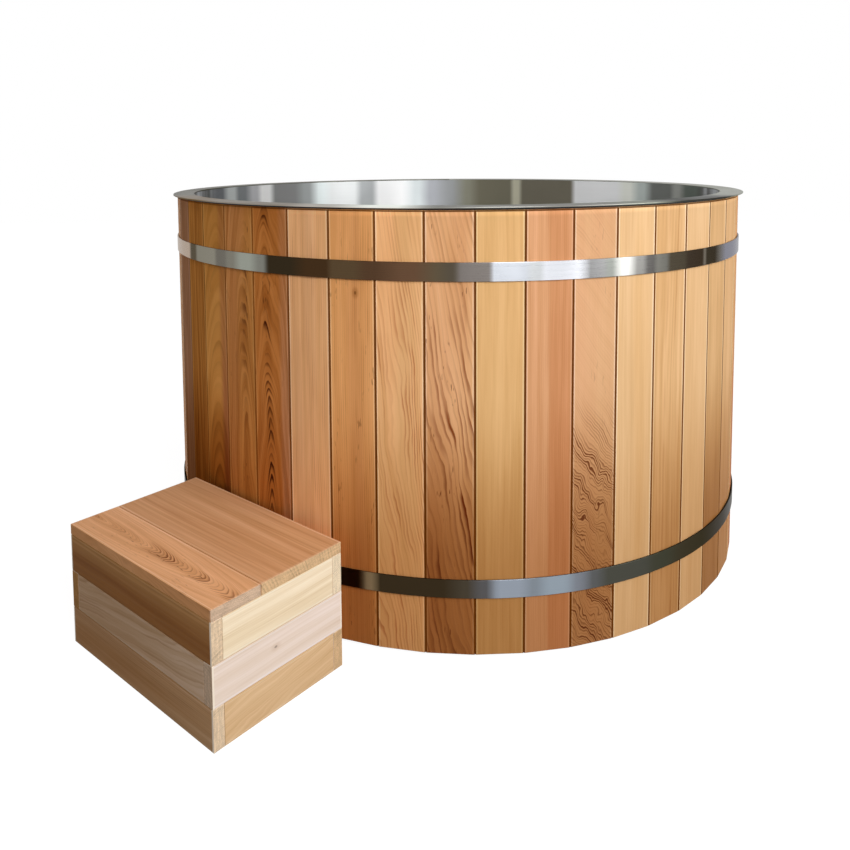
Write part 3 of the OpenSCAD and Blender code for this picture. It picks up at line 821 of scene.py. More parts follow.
@dataclass(frozen=True)
class Band:
    """A stretch of a hoop or wall whose colour is a painted reflection of something lighter or darker.

    Attributes:
        start: Where it starts, in degrees round the tub from the middle, to the right as seen.
        tone: The painted reflection's colour as it looks on screen.
        soft: How wide its change from the band before is, in degrees.
    """

    start: float
    tone: Screen
    soft: float = 1.0

    @property
    def opens(self) -> float:
        """Where its change from the band before starts."""
        return self.start - self.soft / 2

    @property
    def full(self) -> float:
        """Where it shows its own colour."""
        return self.start + self.soft / 2


@dataclass(frozen=True)
class Steel:
    """Brushed stainless steel.

    Attributes:
        tone: Its plain colour as it looks on screen.
        brush: Which way it was brushed.
        rough: Its mean roughness.
        depth: How strong the brush lines show.
        drawn: How far its reflections are drawn out across the brush lines.
        bands: The painted reflection bands in its colour, if it is a hoop or the liner's wall or rim.
        inside: Whether the bands lie on the far side's inner face, not on the near side.
        last: How far from the middle the bands reach, in degrees.
        edge: How far its grazing reflections take its own colour.
    """

    tone: Screen = (188, 190, 190)
    brush: Brush = Brush.SPUN
    rough: float = 0.3
    depth: float = 0.14
    drawn: float = 0.7
    bands: tuple[Band, ...] = ()
    inside: bool = False
    last: float = 90.0
    edge: float = 0.6

    def material(self, name: str) -> Material:
        """Makes the steel's material.

        Args:
            name: The material's name.

        Returns:
            The material.
        """
        material, g, shader = new_material(name)
        place = g.add("ShaderNodeTexCoord").outputs["Object"]
        x, y, z = g.split(place)
        # painted reflections: where bands are listed, they are painted into the base colour
        base = self.mirrored(g, x, y) if self.bands else screen(*self.tone)
        out = BRUSHED.place(
            g, flow=self.flow(g, place, x, y, z), place=place, base=base, depth=self.depth,
            rough=self.rough)
        dress(g, shader, out, bump=0.08, depth=0.0002)
        g.put(shader, {"Metallic": 1.0, "Specular Tint": g.blend(self.edge, WHITE, out["Colour"])})
        if self.brush in (Brush.ROUND_WALL, Brush.ROUND_RIM):
            tangent = g.add("ShaderNodeTangent", direction_type="RADIAL", axis="Z").outputs[0]
            g.put(shader, {"Tangent": tangent, "Anisotropic": self.drawn, "Anisotropic Rotation": 0.25})
        return material

    def flow(self, g: Graph, place: Socket, x: Socket, y: Socket, z: Socket) -> Socket:
        """Lays the brush lines, which run where the third coordinate stays the same.

        Args:
            g: The material's graph.
            place: The object's coordinates.
            x: Their X.
            y: Their Y.
            z: Their Z.

        Returns:
            The coordinates of the brush lines.
        """
        if self.brush is Brush.ROUND_RIM:
            return g.join(x, y, g.hypot(x, y))
        if self.brush is Brush.ALONG_X:
            return g.join(x, 0.0, g.plus(y, z))
        if self.brush is Brush.SPUN:
            return g.join(0.0, 0.0, g.plus(g.hypot(x, y), z))
        if self.brush is Brush.PLAIN:
            mixed = g.join(z, x, g.plus(y, g.times(z, 0.4)))
            return g.vector("MULTIPLY", mixed, (30, 30, 0.4))
        return place

    def mirrored(self, g: Graph, x: Socket, y: Socket) -> Socket:
        """Paints reflections into the steel's colour by azimuth round the tub.

        Args:
            g: The material's graph.
            x: The X coordinate.
            y: The Y coordinate.

        Returns:
            The colour with its painted reflection bands, and quieter painted bands where none are listed.
        """
        ahead = y if self.inside else g.times(y, -1)
        angle = g.times(g.maths("ARCTAN2", x, ahead), 180 / math.pi)
        groups = [self.bands[k:k + RAMP_BANDS] for k in range(0, len(self.bands), RAMP_BANDS)]
        colour: Socket | None = None
        for group, following in zip(groups, [*groups[1:], ()]):
            after = following[0] if following else Band(self.last, group[-1].tone)
            ramp = self.ramp(g, angle, group, after)
            passed = g.maths("GREATER_THAN", angle, group[0].full)
            colour = ramp if colour is None else g.blend(passed, colour, ramp)
        # quieter painted reflections of dark and light grey, beyond the listed bands
        waves = g.noise(g.join(x, y, 0.0), (6, 6, 1), 3.0, 0.7).outputs[0]
        quiet_reflection = g.blend(g.span(waves, 0.38, 0.62), screen(104, 102, 98), screen(206, 208, 210))
        return g.blend(g.span(g.maths("ABSOLUTE", angle), self.last - 8, self.last), colour, quiet_reflection)

    def ramp(self, g: Graph, angle: Socket, group: Sequence[Band], after: Band) -> Socket:
        """Colours a run of bands.

        Args:
            g: The material's graph.
            angle: The angle round the tub, in degrees.
            group: The run's bands.
            after: The band that follows it.

        Returns:
            The run's colour.
        """
        low, high = group[0].full, after.full
        marks = [(low, group[0].tone)]
        for before, band in zip(group, [*group[1:], after]):
            marks += [(band.opens, before.tone), (band.full, band.tone)]
        node = g.add("ShaderNodeValToRGB")
        g.feed(node.inputs[0], g.maths("DIVIDE", g.less(angle, low), high - low))
        stops = node.color_ramp.elements
        while len(stops) < len(marks):
            stops.new(1.0)
        for stop, (where, tone) in zip(stops, marks):
            stop.position = min(max((where - low) / (high - low), 0.0), 1.0)
            stop.color = screen(*tone)
        return node.outputs[0]


@dataclass(frozen=True)
class Skin:
    """A cast, moulded or foamed finish.

    Attributes:
        tone: Its colour as it looks on screen.
        patch: The colour of its patches.
        size: How many patches fit a metre.
        grit: How strong its fine grit is.
        rough: Its mean roughness.
        metal: How metallic it is.
        relief: The depth of its relief, in metres.
    """

    tone: Screen
    patch: Screen
    size: float = 60.0
    grit: float = 0.4
    rough: float = 0.5
    metal: float = 0.0
    relief: float = 0.0004

    def material(self, name: str) -> Material:
        """Makes the skin's material.

        Args:
            name: The material's name.

        Returns:
            The material.
        """
        material, g, shader = new_material(name)
        place = g.add("ShaderNodeTexCoord").outputs["Object"]
        out = MOTTLED.place(
            g, place=place, base=screen(*self.tone), patch=screen(*self.patch), size=self.size,
            grit=self.grit, rough=self.rough,
        )
        dress(g, shader, out, bump=0.3, depth=self.relief)
        shader.inputs["Metallic"].default_value = self.metal
        return material


RUBBER = Skin((38, 38, 38), (52, 51, 50), size=90.0, grit=0.5, rough=0.62)
GRIP = Skin((44, 45, 48), (54, 55, 58), size=140.0, grit=0.5)
FOAM = Skin((222, 214, 190), (206, 196, 168), size=300.0, grit=0.5, rough=0.9, relief=0.0008)
BRASS = Skin(
    (196, 168, 104), (168, 138, 84), size=70.0, grit=0.35, rough=0.34, metal=1.0, relief=0.0003)
SCREWS = Skin(
    (176, 176, 172), (150, 150, 146), size=200.0, grit=0.3, rough=0.35, metal=1.0, relief=0.0001)
PLASTIC = Skin((232, 232, 228), (220, 219, 212), size=80.0, grit=0.2, rough=0.45)
FITTING = Steel((190, 191, 190), rough=0.28)


# ---- meshes ----


class Form:
    """A piece gathered as rings of points before it becomes a mesh object.

    Rings and sections come in millimetres. The points that it holds are in metres.
    """

    def __init__(self) -> None:
        """Starts with nothing."""
        self.points: list[Point] = []
        self.faces: list[tuple[int, ...]] = []

    def skin(self, rings: Sequence[Sequence[Point]], looped: bool = False) -> "Form":
        """Adds a closed skin over rings that have equally many points.

        Args:
            rings: The rings in order.
            looped: Whether the last ring joins the first; otherwise both ends are closed.

        Returns:
            The form itself.
        """
        base, count = len(self.points), len(rings[0])
        for ring in rings:
            self.points.extend((x * MM, y * MM, z * MM) for x, y, z in ring)
        pairs = [(k, k + 1) for k in range(len(rings) - 1)] + ([(len(rings) - 1, 0)] if looped else [])
        for near, far in pairs:
            for j in range(count):
                k = (j + 1) % count
                a, b = base + near * count, base + far * count
                self.faces.append((a + j, a + k, b + k, b + j))
        if not looped:
            last = base + (len(rings) - 1) * count
            self.faces.append(tuple(base + j for j in reversed(range(count))))
            self.faces.append(tuple(last + j for j in range(count)))
        return self

    def turned(
        self, profile: Sequence[Flat], steps: int = 64, start: float = 0.0, sweep: float = 360.0,
    ) -> "Form":
        """Adds a closed profile turned round the Z axis.

        Args:
            profile: Radius and height of each point, in order round the section.
            steps: How many steps the turn has.
            start: Where the turn starts, in degrees from the X axis.
            sweep: How far it goes, in degrees.

        Returns:
            The form itself.
        """
        full = sweep >= 360.0
        rings = []
        for k in range(steps if full else steps + 1):
            angle = math.radians(start + sweep * k / steps)
            rings.append([(r * math.cos(angle), r * math.sin(angle), z) for r, z in profile])
        return self.skin(rings, looped=full)

    def shaped(self, levels: Sequence[tuple[Reach, float]], steps: int) -> "Form":
        """Adds a ring-shaped skin whose radius changes with the angle.

        Args:
            levels: For each point of the section, its radius by angle in radians, and its height.
            steps: How many steps the turn has.

        Returns:
            The form itself.
        """
        rings = []
        for k in range(steps):
            angle = 2 * math.pi * k / steps
            section = [(reach(angle), z) for reach, z in levels]
            rings.append([(r * math.cos(angle), r * math.sin(angle), z) for r, z in section])
        return self.skin(rings, looped=True)

    def joined(self, other: "Form") -> "Form":
        """Adds another form to this one.

        Args:
            other: The other form.

        Returns:
            The form itself.
        """
        base = len(self.points)
        self.points += other.points
        self.faces += [tuple(base + k for k in face) for face in other.faces]
        return self

    def moved(self, place: Matrix) -> "Form":
        """Moves all its points by a matrix."""
        self.points = [tuple(place @ Vector(point)) for point in self.points]
        return self

    def piece(
        self, name: str, ease: float = 0.0, steps: int = 2, sharp: float = 35.0,
        place: Matrix | None = None, cuts: Sequence["Form"] = (),
    ) -> Thing:
        """Makes the mesh object, with its edges eased and its shading even.

        Args:
            name: The piece's name.
            ease: How wide its sharp edges are rounded, in millimetres.
            steps: How many steps that rounding has.
            sharp: From what angle an edge shows as sharp, in degrees.
            place: Where the object stands.
            cuts: Forms that are cut away from it.

        Returns:
            The object.
        """
        mesh = bpy.data.meshes.new(name)
        mesh.from_pydata(self.points, [], self.faces)
        work = bmesh.new()
        work.from_mesh(mesh)
        bmesh.ops.remove_doubles(work, verts=work.verts, dist=SAME_POINT)
        bmesh.ops.dissolve_degenerate(work, edges=work.edges, dist=SAME_POINT)
        bmesh.ops.recalc_face_normals(work, faces=work.faces)
        for face in work.faces:
            face.smooth = True
        work.to_mesh(mesh)
        work.free()
        piece = bpy.data.objects.new(name, mesh)
        bpy.context.scene.collection.objects.link(piece)
        tools = [cut.piece(f"{name}_cut_{number}") for number, cut in enumerate(cuts)]
        for tool in tools:
            bore = piece.modifiers.new("bore", "BOOLEAN")
            bore.object, bore.operation, bore.solver = tool, "DIFFERENCE", "EXACT"
        if ease:
            bevel = piece.modifiers.new("ease", "BEVEL")
            bevel.width, bevel.segments, bevel.limit_method = ease * MM, steps, "ANGLE"
            bevel.angle_limit, bevel.use_clamp_overlap = math.radians(sharp), True
        piece.modifiers.new("even", "WEIGHTED_NORMAL").keep_sharp = True
        settle(piece, sharp)
        for tool in tools:
            bpy.data.objects.remove(tool)
        if place is not None:
            piece.matrix_world = place
        return piece


def settle(piece: Thing, sharp: float) -> None:
    """Makes a piece's modifiers part of its mesh.

    Args:
        piece: The piece.
        sharp: From what angle an edge shows as sharp, in degrees.
    """
    for stage in ("shape", "shade"):
        for modifier in piece.modifiers:
            shades = modifier.type == "WEIGHTED_NORMAL"
            modifier.show_viewport = modifier.show_render = shades == (stage == "shade")
        bpy.context.view_layer.update()
        graph = bpy.context.evaluated_depsgraph_get()
        ready = piece.evaluated_get(graph)
        mesh = bpy.data.meshes.new_from_object(ready, preserve_all_data_layers=True, depsgraph=graph)
        old = piece.data
        piece.data = mesh
        bpy.data.meshes.remove(old)
        if stage == "shape":
            mesh.set_sharp_from_angle(angle=math.radians(sharp))
    piece.modifiers.clear()
    piece.data.name = piece.name


def box(low: Point, high: Point) -> Form:
    """Gives a box.

    Args:
        low: Its lowest corner.
        high: Its highest corner.

    Returns:
        The form.
    """
    x0, y0, z0 = low
    x1, y1, z1 = high
    return Form().skin([[(x0, y0, z), (x1, y0, z), (x1, y1, z), (x0, y1, z)] for z in (z0, z1)])


def rounded(corners: Sequence[Flat], radius: float, steps: int = 3) -> list[Flat]:
    """Rounds the corners of a closed section.

    Args:
        corners: Its corners in order.
        radius: How far from each corner the rounding starts, in the corners' unit.
        steps: How many steps each rounding has.

    Returns:
        The rounded section.
    """
    made = []
    for number, corner in enumerate(corners):
        here = Vector(corner)
        before, after = Vector(corners[number - 1]), Vector(corners[(number + 1) % len(corners)])
        near = min(radius, (before - here).length * 0.49)
        far = min(radius, (after - here).length * 0.49)
        start = here + (before - here).normalized() * near
        end = here + (after - here).normalized() * far
        for k in range(steps + 1):
            t = k / steps
            point = start * (1 - t) ** 2 + here * 2 * t * (1 - t) + end * t**2
            made.append((point.x, point.y))
    return made


def ring_section(inner: float, outer: float, low: float, high: float) -> list[Flat]:
    """Gives the four corners of a flat ring's section."""
    return [(inner, low), (outer, low), (outer, high), (inner, high)]


def tube(
    outer: float, inner: float, low: float, high: float, ease: float = 0.4, steps: int = 64,
) -> Form:
    """Gives a turned ring with rounded edges, in millimetres."""
    return Form().turned(rounded(ring_section(inner, outer, low, high), ease), steps)


def pin(radius: float, low: float, high: float, steps: int = 40) -> Form:
    """Gives a plain round pin to cut a bore with, in millimetres."""
    return Form().turned(ring_section(0, radius, low, high), steps)


def hexagon(across: float) -> Reach:
    """Gives the radius of a six-sided outline by angle, for its width across the flats."""
    return lambda angle: across / 2 / math.cos((angle % (math.pi / 3)) - math.pi / 6)


def steady(radius: float) -> Reach:
    """Gives the same radius at every angle."""
    return lambda _: radius


def hex_body(across: float, bore: float, low: float, high: float) -> Form:
    """Gives a six-sided nut, in millimetres, with its corners turned off at both ends.

    Args:
        across: Its width across the flats.
        bore: The radius of its bore, or 0 for a bolt's head.
        low: Its lower end.
        high: Its upper end.

    Returns:
        The form.
    """
    flat, deep = across / 2 * 0.95, across / 2 * 0.12
    bevel = min(0.6, (high - low) / 6)

    def cut_off(drop: float) -> Reach:
        """Gives the outline at a distance from the nut's end."""
        return lambda angle: min(hexagon(across)(angle), flat + drop / math.tan(math.radians(30)))

    drops = [deep * k / 4 for k in range(5)]
    levels = [(steady(bore), low + bevel), (steady(bore + bevel), low)]
    levels += [(cut_off(drop), low + drop) for drop in drops]
    levels += [(cut_off(drop), high - drop) for drop in reversed(drops)]
    levels += [(steady(bore + bevel), high), (steady(bore), high - bevel)]
    return Form().shaped(levels, 48)


def threaded(
    outer: float, inner: float, low: float, high: float, pitch: float, depth: float, steps: int = 48,
) -> Form:
    """Gives a threaded tube or rod, in millimetres.

    Args:
        outer: The thread's outer radius.
        inner: The radius of its bore, or 0 for a rod.
        low: Where it starts.
        high: Where it ends, with a bevel.
        pitch: The thread's pitch.
        depth: The thread's depth.
        steps: How many steps a turn has.

    Returns:
        The form.
    """
    rows = max(4, int((high - low) / pitch * 6))
    bevel, slope = 0.7, 0.8

    def reach(z: float, angle: float) -> float:
        """Gives the thread's radius.

        Args:
            z: The height.
            angle: The angle in radians.

        Returns:
            The radius.
        """
        wave = abs(((z / pitch - angle / (2 * math.pi)) % 1.0) * 2 - 1)
        fade = min(1.0, (high - z) / pitch, (z - low) / pitch + 0.3)
        return outer - depth * wave * max(fade, 0.0) - max(0.0, bevel - (high - z)) * slope

    heights = [low + (high - low) * k / rows for k in range(rows + 1)]
    levels = [(steady(inner), low), *((partial(reach, z), z) for z in heights), (steady(inner), high)]
    return Form().shaped(levels, steps)


def shift(x: float, y: float, z: float) -> Matrix:
    """Gives a shift, in millimetres."""
    return Matrix.Translation((x * MM, y * MM, z * MM))


def spin(axis: str, angle: float) -> Matrix:
    """Gives a turn about an axis, in degrees."""
    return Matrix.Rotation(math.radians(angle), 4, axis)


def aligned(across: Sequence[float], deep: Sequence[float], along: Sequence[float]) -> Matrix:
    """Gives the turn that brings X, Y and Z into three directions."""
    return Matrix((across, deep, along)).transposed().to_4x4()


def round_tub(azimuth: float, reach: float) -> Matrix:
    """Places a piece by its azimuth and its reach in millimetres, with Y inwards and Z up."""
    return spin("Z", azimuth) @ shift(0, -reach, 0)


def through_wall(azimuth: float, height: float) -> Matrix:
    """Places a piece's Z axis outwards through the wall, from the tub's axis, with X up.

    Args:
        azimuth: Degrees from the front, to the right as seen from there.
        height: Its height in millimetres.

    Returns:
        The placement.
    """
    turn = math.radians(azimuth)
    out, up = Vector((math.sin(turn), -math.cos(turn), 0)), Vector((0, 0, 1))
    return shift(0, 0, height) @ aligned(up, out.cross(up), out)


def add(piece: Thing, body: str, slot: str, material: Material, *nodes: str) -> None:
    """Dresses a piece, rides it on its body and reports it.

    Args:
        piece: The piece.
        body: The body that it rides on.
        slot: The record's material slot; not used.
        material: Its material.
        *nodes: The CAD nodes that it stands for.
    """
    piece.data.materials.clear()
    piece.data.materials.append(material)
    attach(piece, body)
    if nodes:
        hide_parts(*nodes)
    LOG.info("%s rides on %s", piece.name, body)


def keep(material: Material, *nodes: str) -> None:
    """Gives CAD nodes that stay their detailed material.

    Args:
        material: The material.
        *nodes: The nodes.
    """
    for node in nodes:
        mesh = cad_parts[node].data
        if not mesh.materials:
            mesh.materials.append(material)
        for number in range(len(mesh.materials)):
            mesh.materials[number] = material
        LOG.info("%s keeps its shape", node)


# ---- sub-assemblies ----


@dataclass
class StaveWall:
    """The ring of 48 staves, in millimetres."""

    count: int = 48
    tub_r: float = 762.0
    foot: float = 6.0
    top: float = 910.0
    thickness: float = 25.0
    gap: float = 0.4
    arris: float = 1.6
    end_ease: float = 1.2
    croze_depth: float = 7.0
    croze: Flat = (88.85, 114.15)  # from, to
    set_back: Flat = (-0.25, 0.15)  # how far a face may lie in or out
    ported: dict[int, Flat] = field(  # by number, the bore's radius and height
        default_factory=lambda: {22: (17.0, 640.0), 24: (22.0, 42.0), 26: (17.0, 260.0)})
    rng: random.Random = field(default_factory=lambda: random.Random(48))

    @property
    def pitch(self) -> float:
        """The angle from one stave to the next, in radians."""
        return 2 * math.pi / self.count

    @property
    def face_r(self) -> float:
        """How far a stave's flat face is from the tub's axis."""
        return self.tub_r * math.cos(self.pitch / 2)

    def half(self, depth: float) -> float:
        """Gives half a stave's width at a depth behind its face."""
        return (self.face_r - depth) * math.tan(self.pitch / 2) - self.gap / 2

    def section(self, back: float, squeeze: float) -> list[Flat]:
        """Gives a stave's section.

        Args:
            back: How deep its back lies behind its face.
            squeeze: How far its outline draws in, at an eased end.

        Returns:
            The section's points as across and depth.
        """
        wide, behind = self.half(0) - squeeze, self.half(back) - squeeze
        arc = []
        for k in range(5):
            turn = math.pi / 2 * k / 4
            across = wide - self.arris * (1 - math.sin(turn))
            arc.append((across, squeeze + self.arris * (1 - math.cos(turn))))
        front = [(-across, depth) for across, depth in reversed(arc)] + arc
        return front + [(behind, back - squeeze), (-behind, back - squeeze)]

    def stave(self, number: int) -> Thing:
        """Builds one stave.

        Args:
            number: Its number round the tub from the front, to the right.

        Returns:
            The stave.
        """
        full, thin, ease = self.thickness, self.thickness - self.croze_depth, self.end_ease
        low, high = self.croze
        stack = [
            (self.foot, full, ease), (self.foot + ease, full, 0), (low, full, 0), (low, thin, 0),
            (high, thin, 0), (high, full, 0), (self.top - ease, full, 0), (self.top, full, ease),
        ]
        rings = [[(x, y, z) for x, y in self.section(back, squeeze)] for z, back, squeeze in stack]
        cuts = []
        if number in self.ported:
            radius, height = self.ported[number]
            cuts.append(pin(radius, -10, 40, steps=64).moved(shift(0, 0, height) @ spin("X", -90)))
        place = round_tub(number * 360 / self.count, self.face_r + self.rng.uniform(*self.set_back))
        return Form().skin(rings).piece(f"stave_{number:02d}", sharp=32, place=place, cuts=cuts)

    def finish(self, number: int) -> Cedar:
        """Chooses a stave's finish.

        Args:
            number: Its number round the tub from the front, to the right.

        Returns:
            The finish listed for the staves in front, and by a fixed draw for the rest.
        """
        tone = self.rng.choice([
            Tone.HONEY, Tone.PEACH, Tone.SALMON, Tone.TAN, Tone.ROSE, Tone.AMBER, Tone.WHEAT, Tone.BRICK])
        figure = self.rng.choice([figure for figure in Figure if figure is not Figure.CURLY])
        drift = self.rng.uniform(-0.03, 0.03)
        grain = figure.but(
            pith_across=figure.value.pith_across * self.rng.choice([-1, 1]) + drift,
            lean_across=figure.value.lean_across * self.rng.choice([-1, 1]),
            curl_height=self.rng.uniform(0.1, 0.8),
        )
        second = self.rng.choice([None, None, Tone.BRICK, Tone.AMBER])
        drawn = Cedar(tone, grain, second, split=self.rng.uniform(-0.03, 0.03), foot=0.3)
        nearest = number if number <= self.count // 2 else number - self.count
        return replace(FRONT_STAVES.get(nearest, drawn), seed=number * SEED_STEP + 0.3)

    def build(self) -> None:
        """Builds and dresses the staves."""
        for number in range(self.count):
            finish = self.finish(number)
            piece = self.stave(number)
            # painted highlights along each stave's long edges, at strength 0.42
            material = finish.material(
                f"cedar_{number:02d}", self.half(0), joined=True, length=self.top, arris=0.42)
            node = "ported_staves" if number in self.ported else "staves"
            add(piece, "tub", "stave_cedar", material, node)


FRONT_STAVES = {
    -8: Cedar(Tone.SMOKE, Figure.STRAIGHT.but(streak=1.4), foot=0.62, sheen=0.0, joint=0.5),
    -7: Cedar(Tone.BARK, Figure.STRAIGHT.but(streak=1.9), foot=0.85, sheen=0.0, joint=0.5),
    -6: Cedar(
        Tone.OLIVE, Figure.CATHEDRAL.but(figure=0.55, streak=1.2), Tone.BRICK, 0.024, 0.01,
        foot=1.05, sheen=0.0, joint=0.5),
    -5: Cedar(
        Tone.UMBER,
        Figure.FLAME.but(
            pith_across=0.024, spacing=0.0056, narrow=2.4, core=0.007, sway=0.1, figure=1.0,
            fleck=1.4, streak=1.5),
        Tone.BRICK, drift=0.4, foot=0.38, joint=0.5),
    -4: Cedar(
        Tone.RUSSET, Figure.FLAME.but(pith_across=-0.01, sway=0.08, figure=1.3), Tone.CLAY, 0.026,
        0.008, foot=0.45, sheen=0.02, joint=0.7),
    -3: Cedar(Tone.SALMON, Figure.FINE.value, Tone.ROSE, drift=0.5, foot=0.1),
    -2: Cedar(
        Tone.AMBER, Figure.FINE.but(fleck=0.5), Tone.BRICK, drift=0.35, foot=0.58, knot=(0.008, 0.742)),
    -1: Cedar(
        Tone.SALMON, Figure.WAVY.but(curl_height=0.25, calm=0.6), Tone.HONEY, drift=0.5, foot=0.33),
    0: Cedar(
        Tone.TAN, Figure.DIAGONAL.but(curl_height=0.25, curl_reach=0.6, calm=0.45), Tone.BRICK,
        drift=0.3, foot=0.88),
    1: Cedar(Tone.HONEY, Figure.PLAIN.but(spacing=0.012, streak=0.45), Tone.MOSS, drift=0.3, foot=0.5),
    2: Cedar(Tone.BLUSH, Figure.FINE.but(figure=0.25), Tone.CLAY, 0.0, 0.005, foot=0.3),
    3: Cedar(
        Tone.ROSE, Figure.CURLY.but(curl_height=0.2, curl_reach=0.34), Tone.PEACH, drift=0.3, foot=0.6),
    4: Cedar(Tone.PEACH, Figure.PLAIN.value, Tone.HONEY, drift=0.4, foot=0.22),
    5: Cedar(Tone.WHEAT, Figure.STRAIGHT.value, Tone.PEACH, drift=0.4, foot=0.5),
    6: Cedar(Tone.PEACH, Figure.PLAIN.value, Tone.WHEAT, drift=0.3, foot=0.28),
    7: Cedar(Tone.DRAB, Figure.FINE.value, foot=0.72),
    8: Cedar(Tone.WHEAT, Figure.FINE.value, foot=0.58),
}


# Painted reflections: bands of light and dark colour round the tub, standing for what the hoops, the
# liner's wall and the rim mirror
UPPER_PAINTED_REFLECTIONS = (
    Band(-90, (182, 166, 151)), Band(-54.8, (96, 88, 74)), Band(-51.5, (138, 134, 122)),
    Band(-43.8, (111, 107, 99)), Band(-40.5, (124, 121, 111)), Band(-37.5, (146, 149, 139), 2),
    Band(-33.2, (121, 121, 113), 2), Band(-30.6, (49, 40, 27)), Band(-24, (64, 45, 27), 3),
    Band(-18.5, (84, 67, 47)), Band(-13.5, (81, 59, 42), 2), Band(-9, (99, 73, 54), 4),
    Band(-3.5, (92, 80, 62), 3), Band(-1, (82, 74, 62), 2), Band(1.2, (116, 110, 106)),
    Band(6.2, (188, 192, 199), 0.6), Band(11.6, (191, 194, 196), 1), Band(13.8, (215, 217, 223), 1),
    Band(20.4, (120, 120, 120), 2), Band(24, (116, 119, 114)), Band(26.2, (187, 187, 183), 2),
    Band(28.8, (115, 114, 111), 2), Band(31.5, (82, 80, 78)), Band(33.6, (109, 108, 102)),
    Band(36.5, (79, 72, 60)), Band(41, (67, 58, 49)), Band(46.2, (122, 115, 105), 0.6),
    Band(47, (69, 63, 54), 0.6), Band(51.5, (115, 111, 105), 2), Band(54, (144, 144, 154), 3),
    Band(66, (144, 146, 154), 6),
)
LOWER_PAINTED_REFLECTIONS = (
    Band(-90, (52, 46, 38)), Band(-16, (47, 31, 16)), Band(-13.5, (115, 97, 72)),
    Band(-11.4, (51, 41, 27)), Band(0.5, (65, 58, 47), 3), Band(3.6, (80, 79, 80), 2),
    Band(6.4, (137, 145, 156), 1.5), Band(11.5, (120, 128, 136), 2), Band(14, (136, 147, 157), 2),
    Band(18.8, (113, 117, 125), 2), Band(21.4, (82, 83, 83), 2), Band(24, (67, 67, 60), 2),
    Band(33.5, (62, 62, 51), 2), Band(39, (63, 58, 46), 3), Band(51, (72, 67, 59), 6),
)
LINER_PAINTED_REFLECTIONS = (
    Band(-90, (132, 134, 137)), Band(-78, (206, 209, 208), 3), Band(-72.5, (147, 150, 152), 2),
    Band(-67, (207, 207, 210), 3), Band(-62.5, (255, 255, 255), 2), Band(-57.5, (159, 159, 159), 2),
    Band(-47.5, (183, 187, 187), 3), Band(-42.5, (246, 253, 253), 3), Band(-38, (238, 240, 240), 3),
    Band(-28, (188, 191, 192), 2), Band(-22.5, (255, 255, 255), 2), Band(-12.5, (218, 224, 225), 4),
    Band(-7.5, (181, 183, 188), 3), Band(-2.5, (176, 178, 179), 4), Band(3, (167, 165, 148), 4),
    Band(7.5, (143, 138, 119), 3), Band(18.8, (219, 215, 193), 1.2), Band(21.4, (138, 132, 116), 1.2),
    Band(37.6, (255, 255, 255), 1.5), Band(42.5, (255, 255, 255), 2), Band(47.5, (255, 255, 255), 3),
    Band(53, (250, 251, 243), 3), Band(58, (208, 215, 211), 3), Band(63, (135, 137, 133), 3),
    Band(72.5, (177, 178, 173), 2), Band(77, (123, 130, 123), 3),
)
RIM_PAINTED_REFLECTIONS = (
    Band(-180, (122, 122, 113)), Band(-100, (80, 76, 56), 20), Band(-64, (121, 102, 74), 8),
    Band(-46, (142, 135, 126), 8), Band(-24, (181, 178, 171), 5), Band(-15, (231, 234, 228), 6),
    Band(-5, (132, 132, 127), 5), Band(27, (135, 140, 129), 6), Band(36, (72, 72, 67), 5),
    Band(56, (154, 156, 145), 6), Band(100, (169, 169, 162), 20),
)


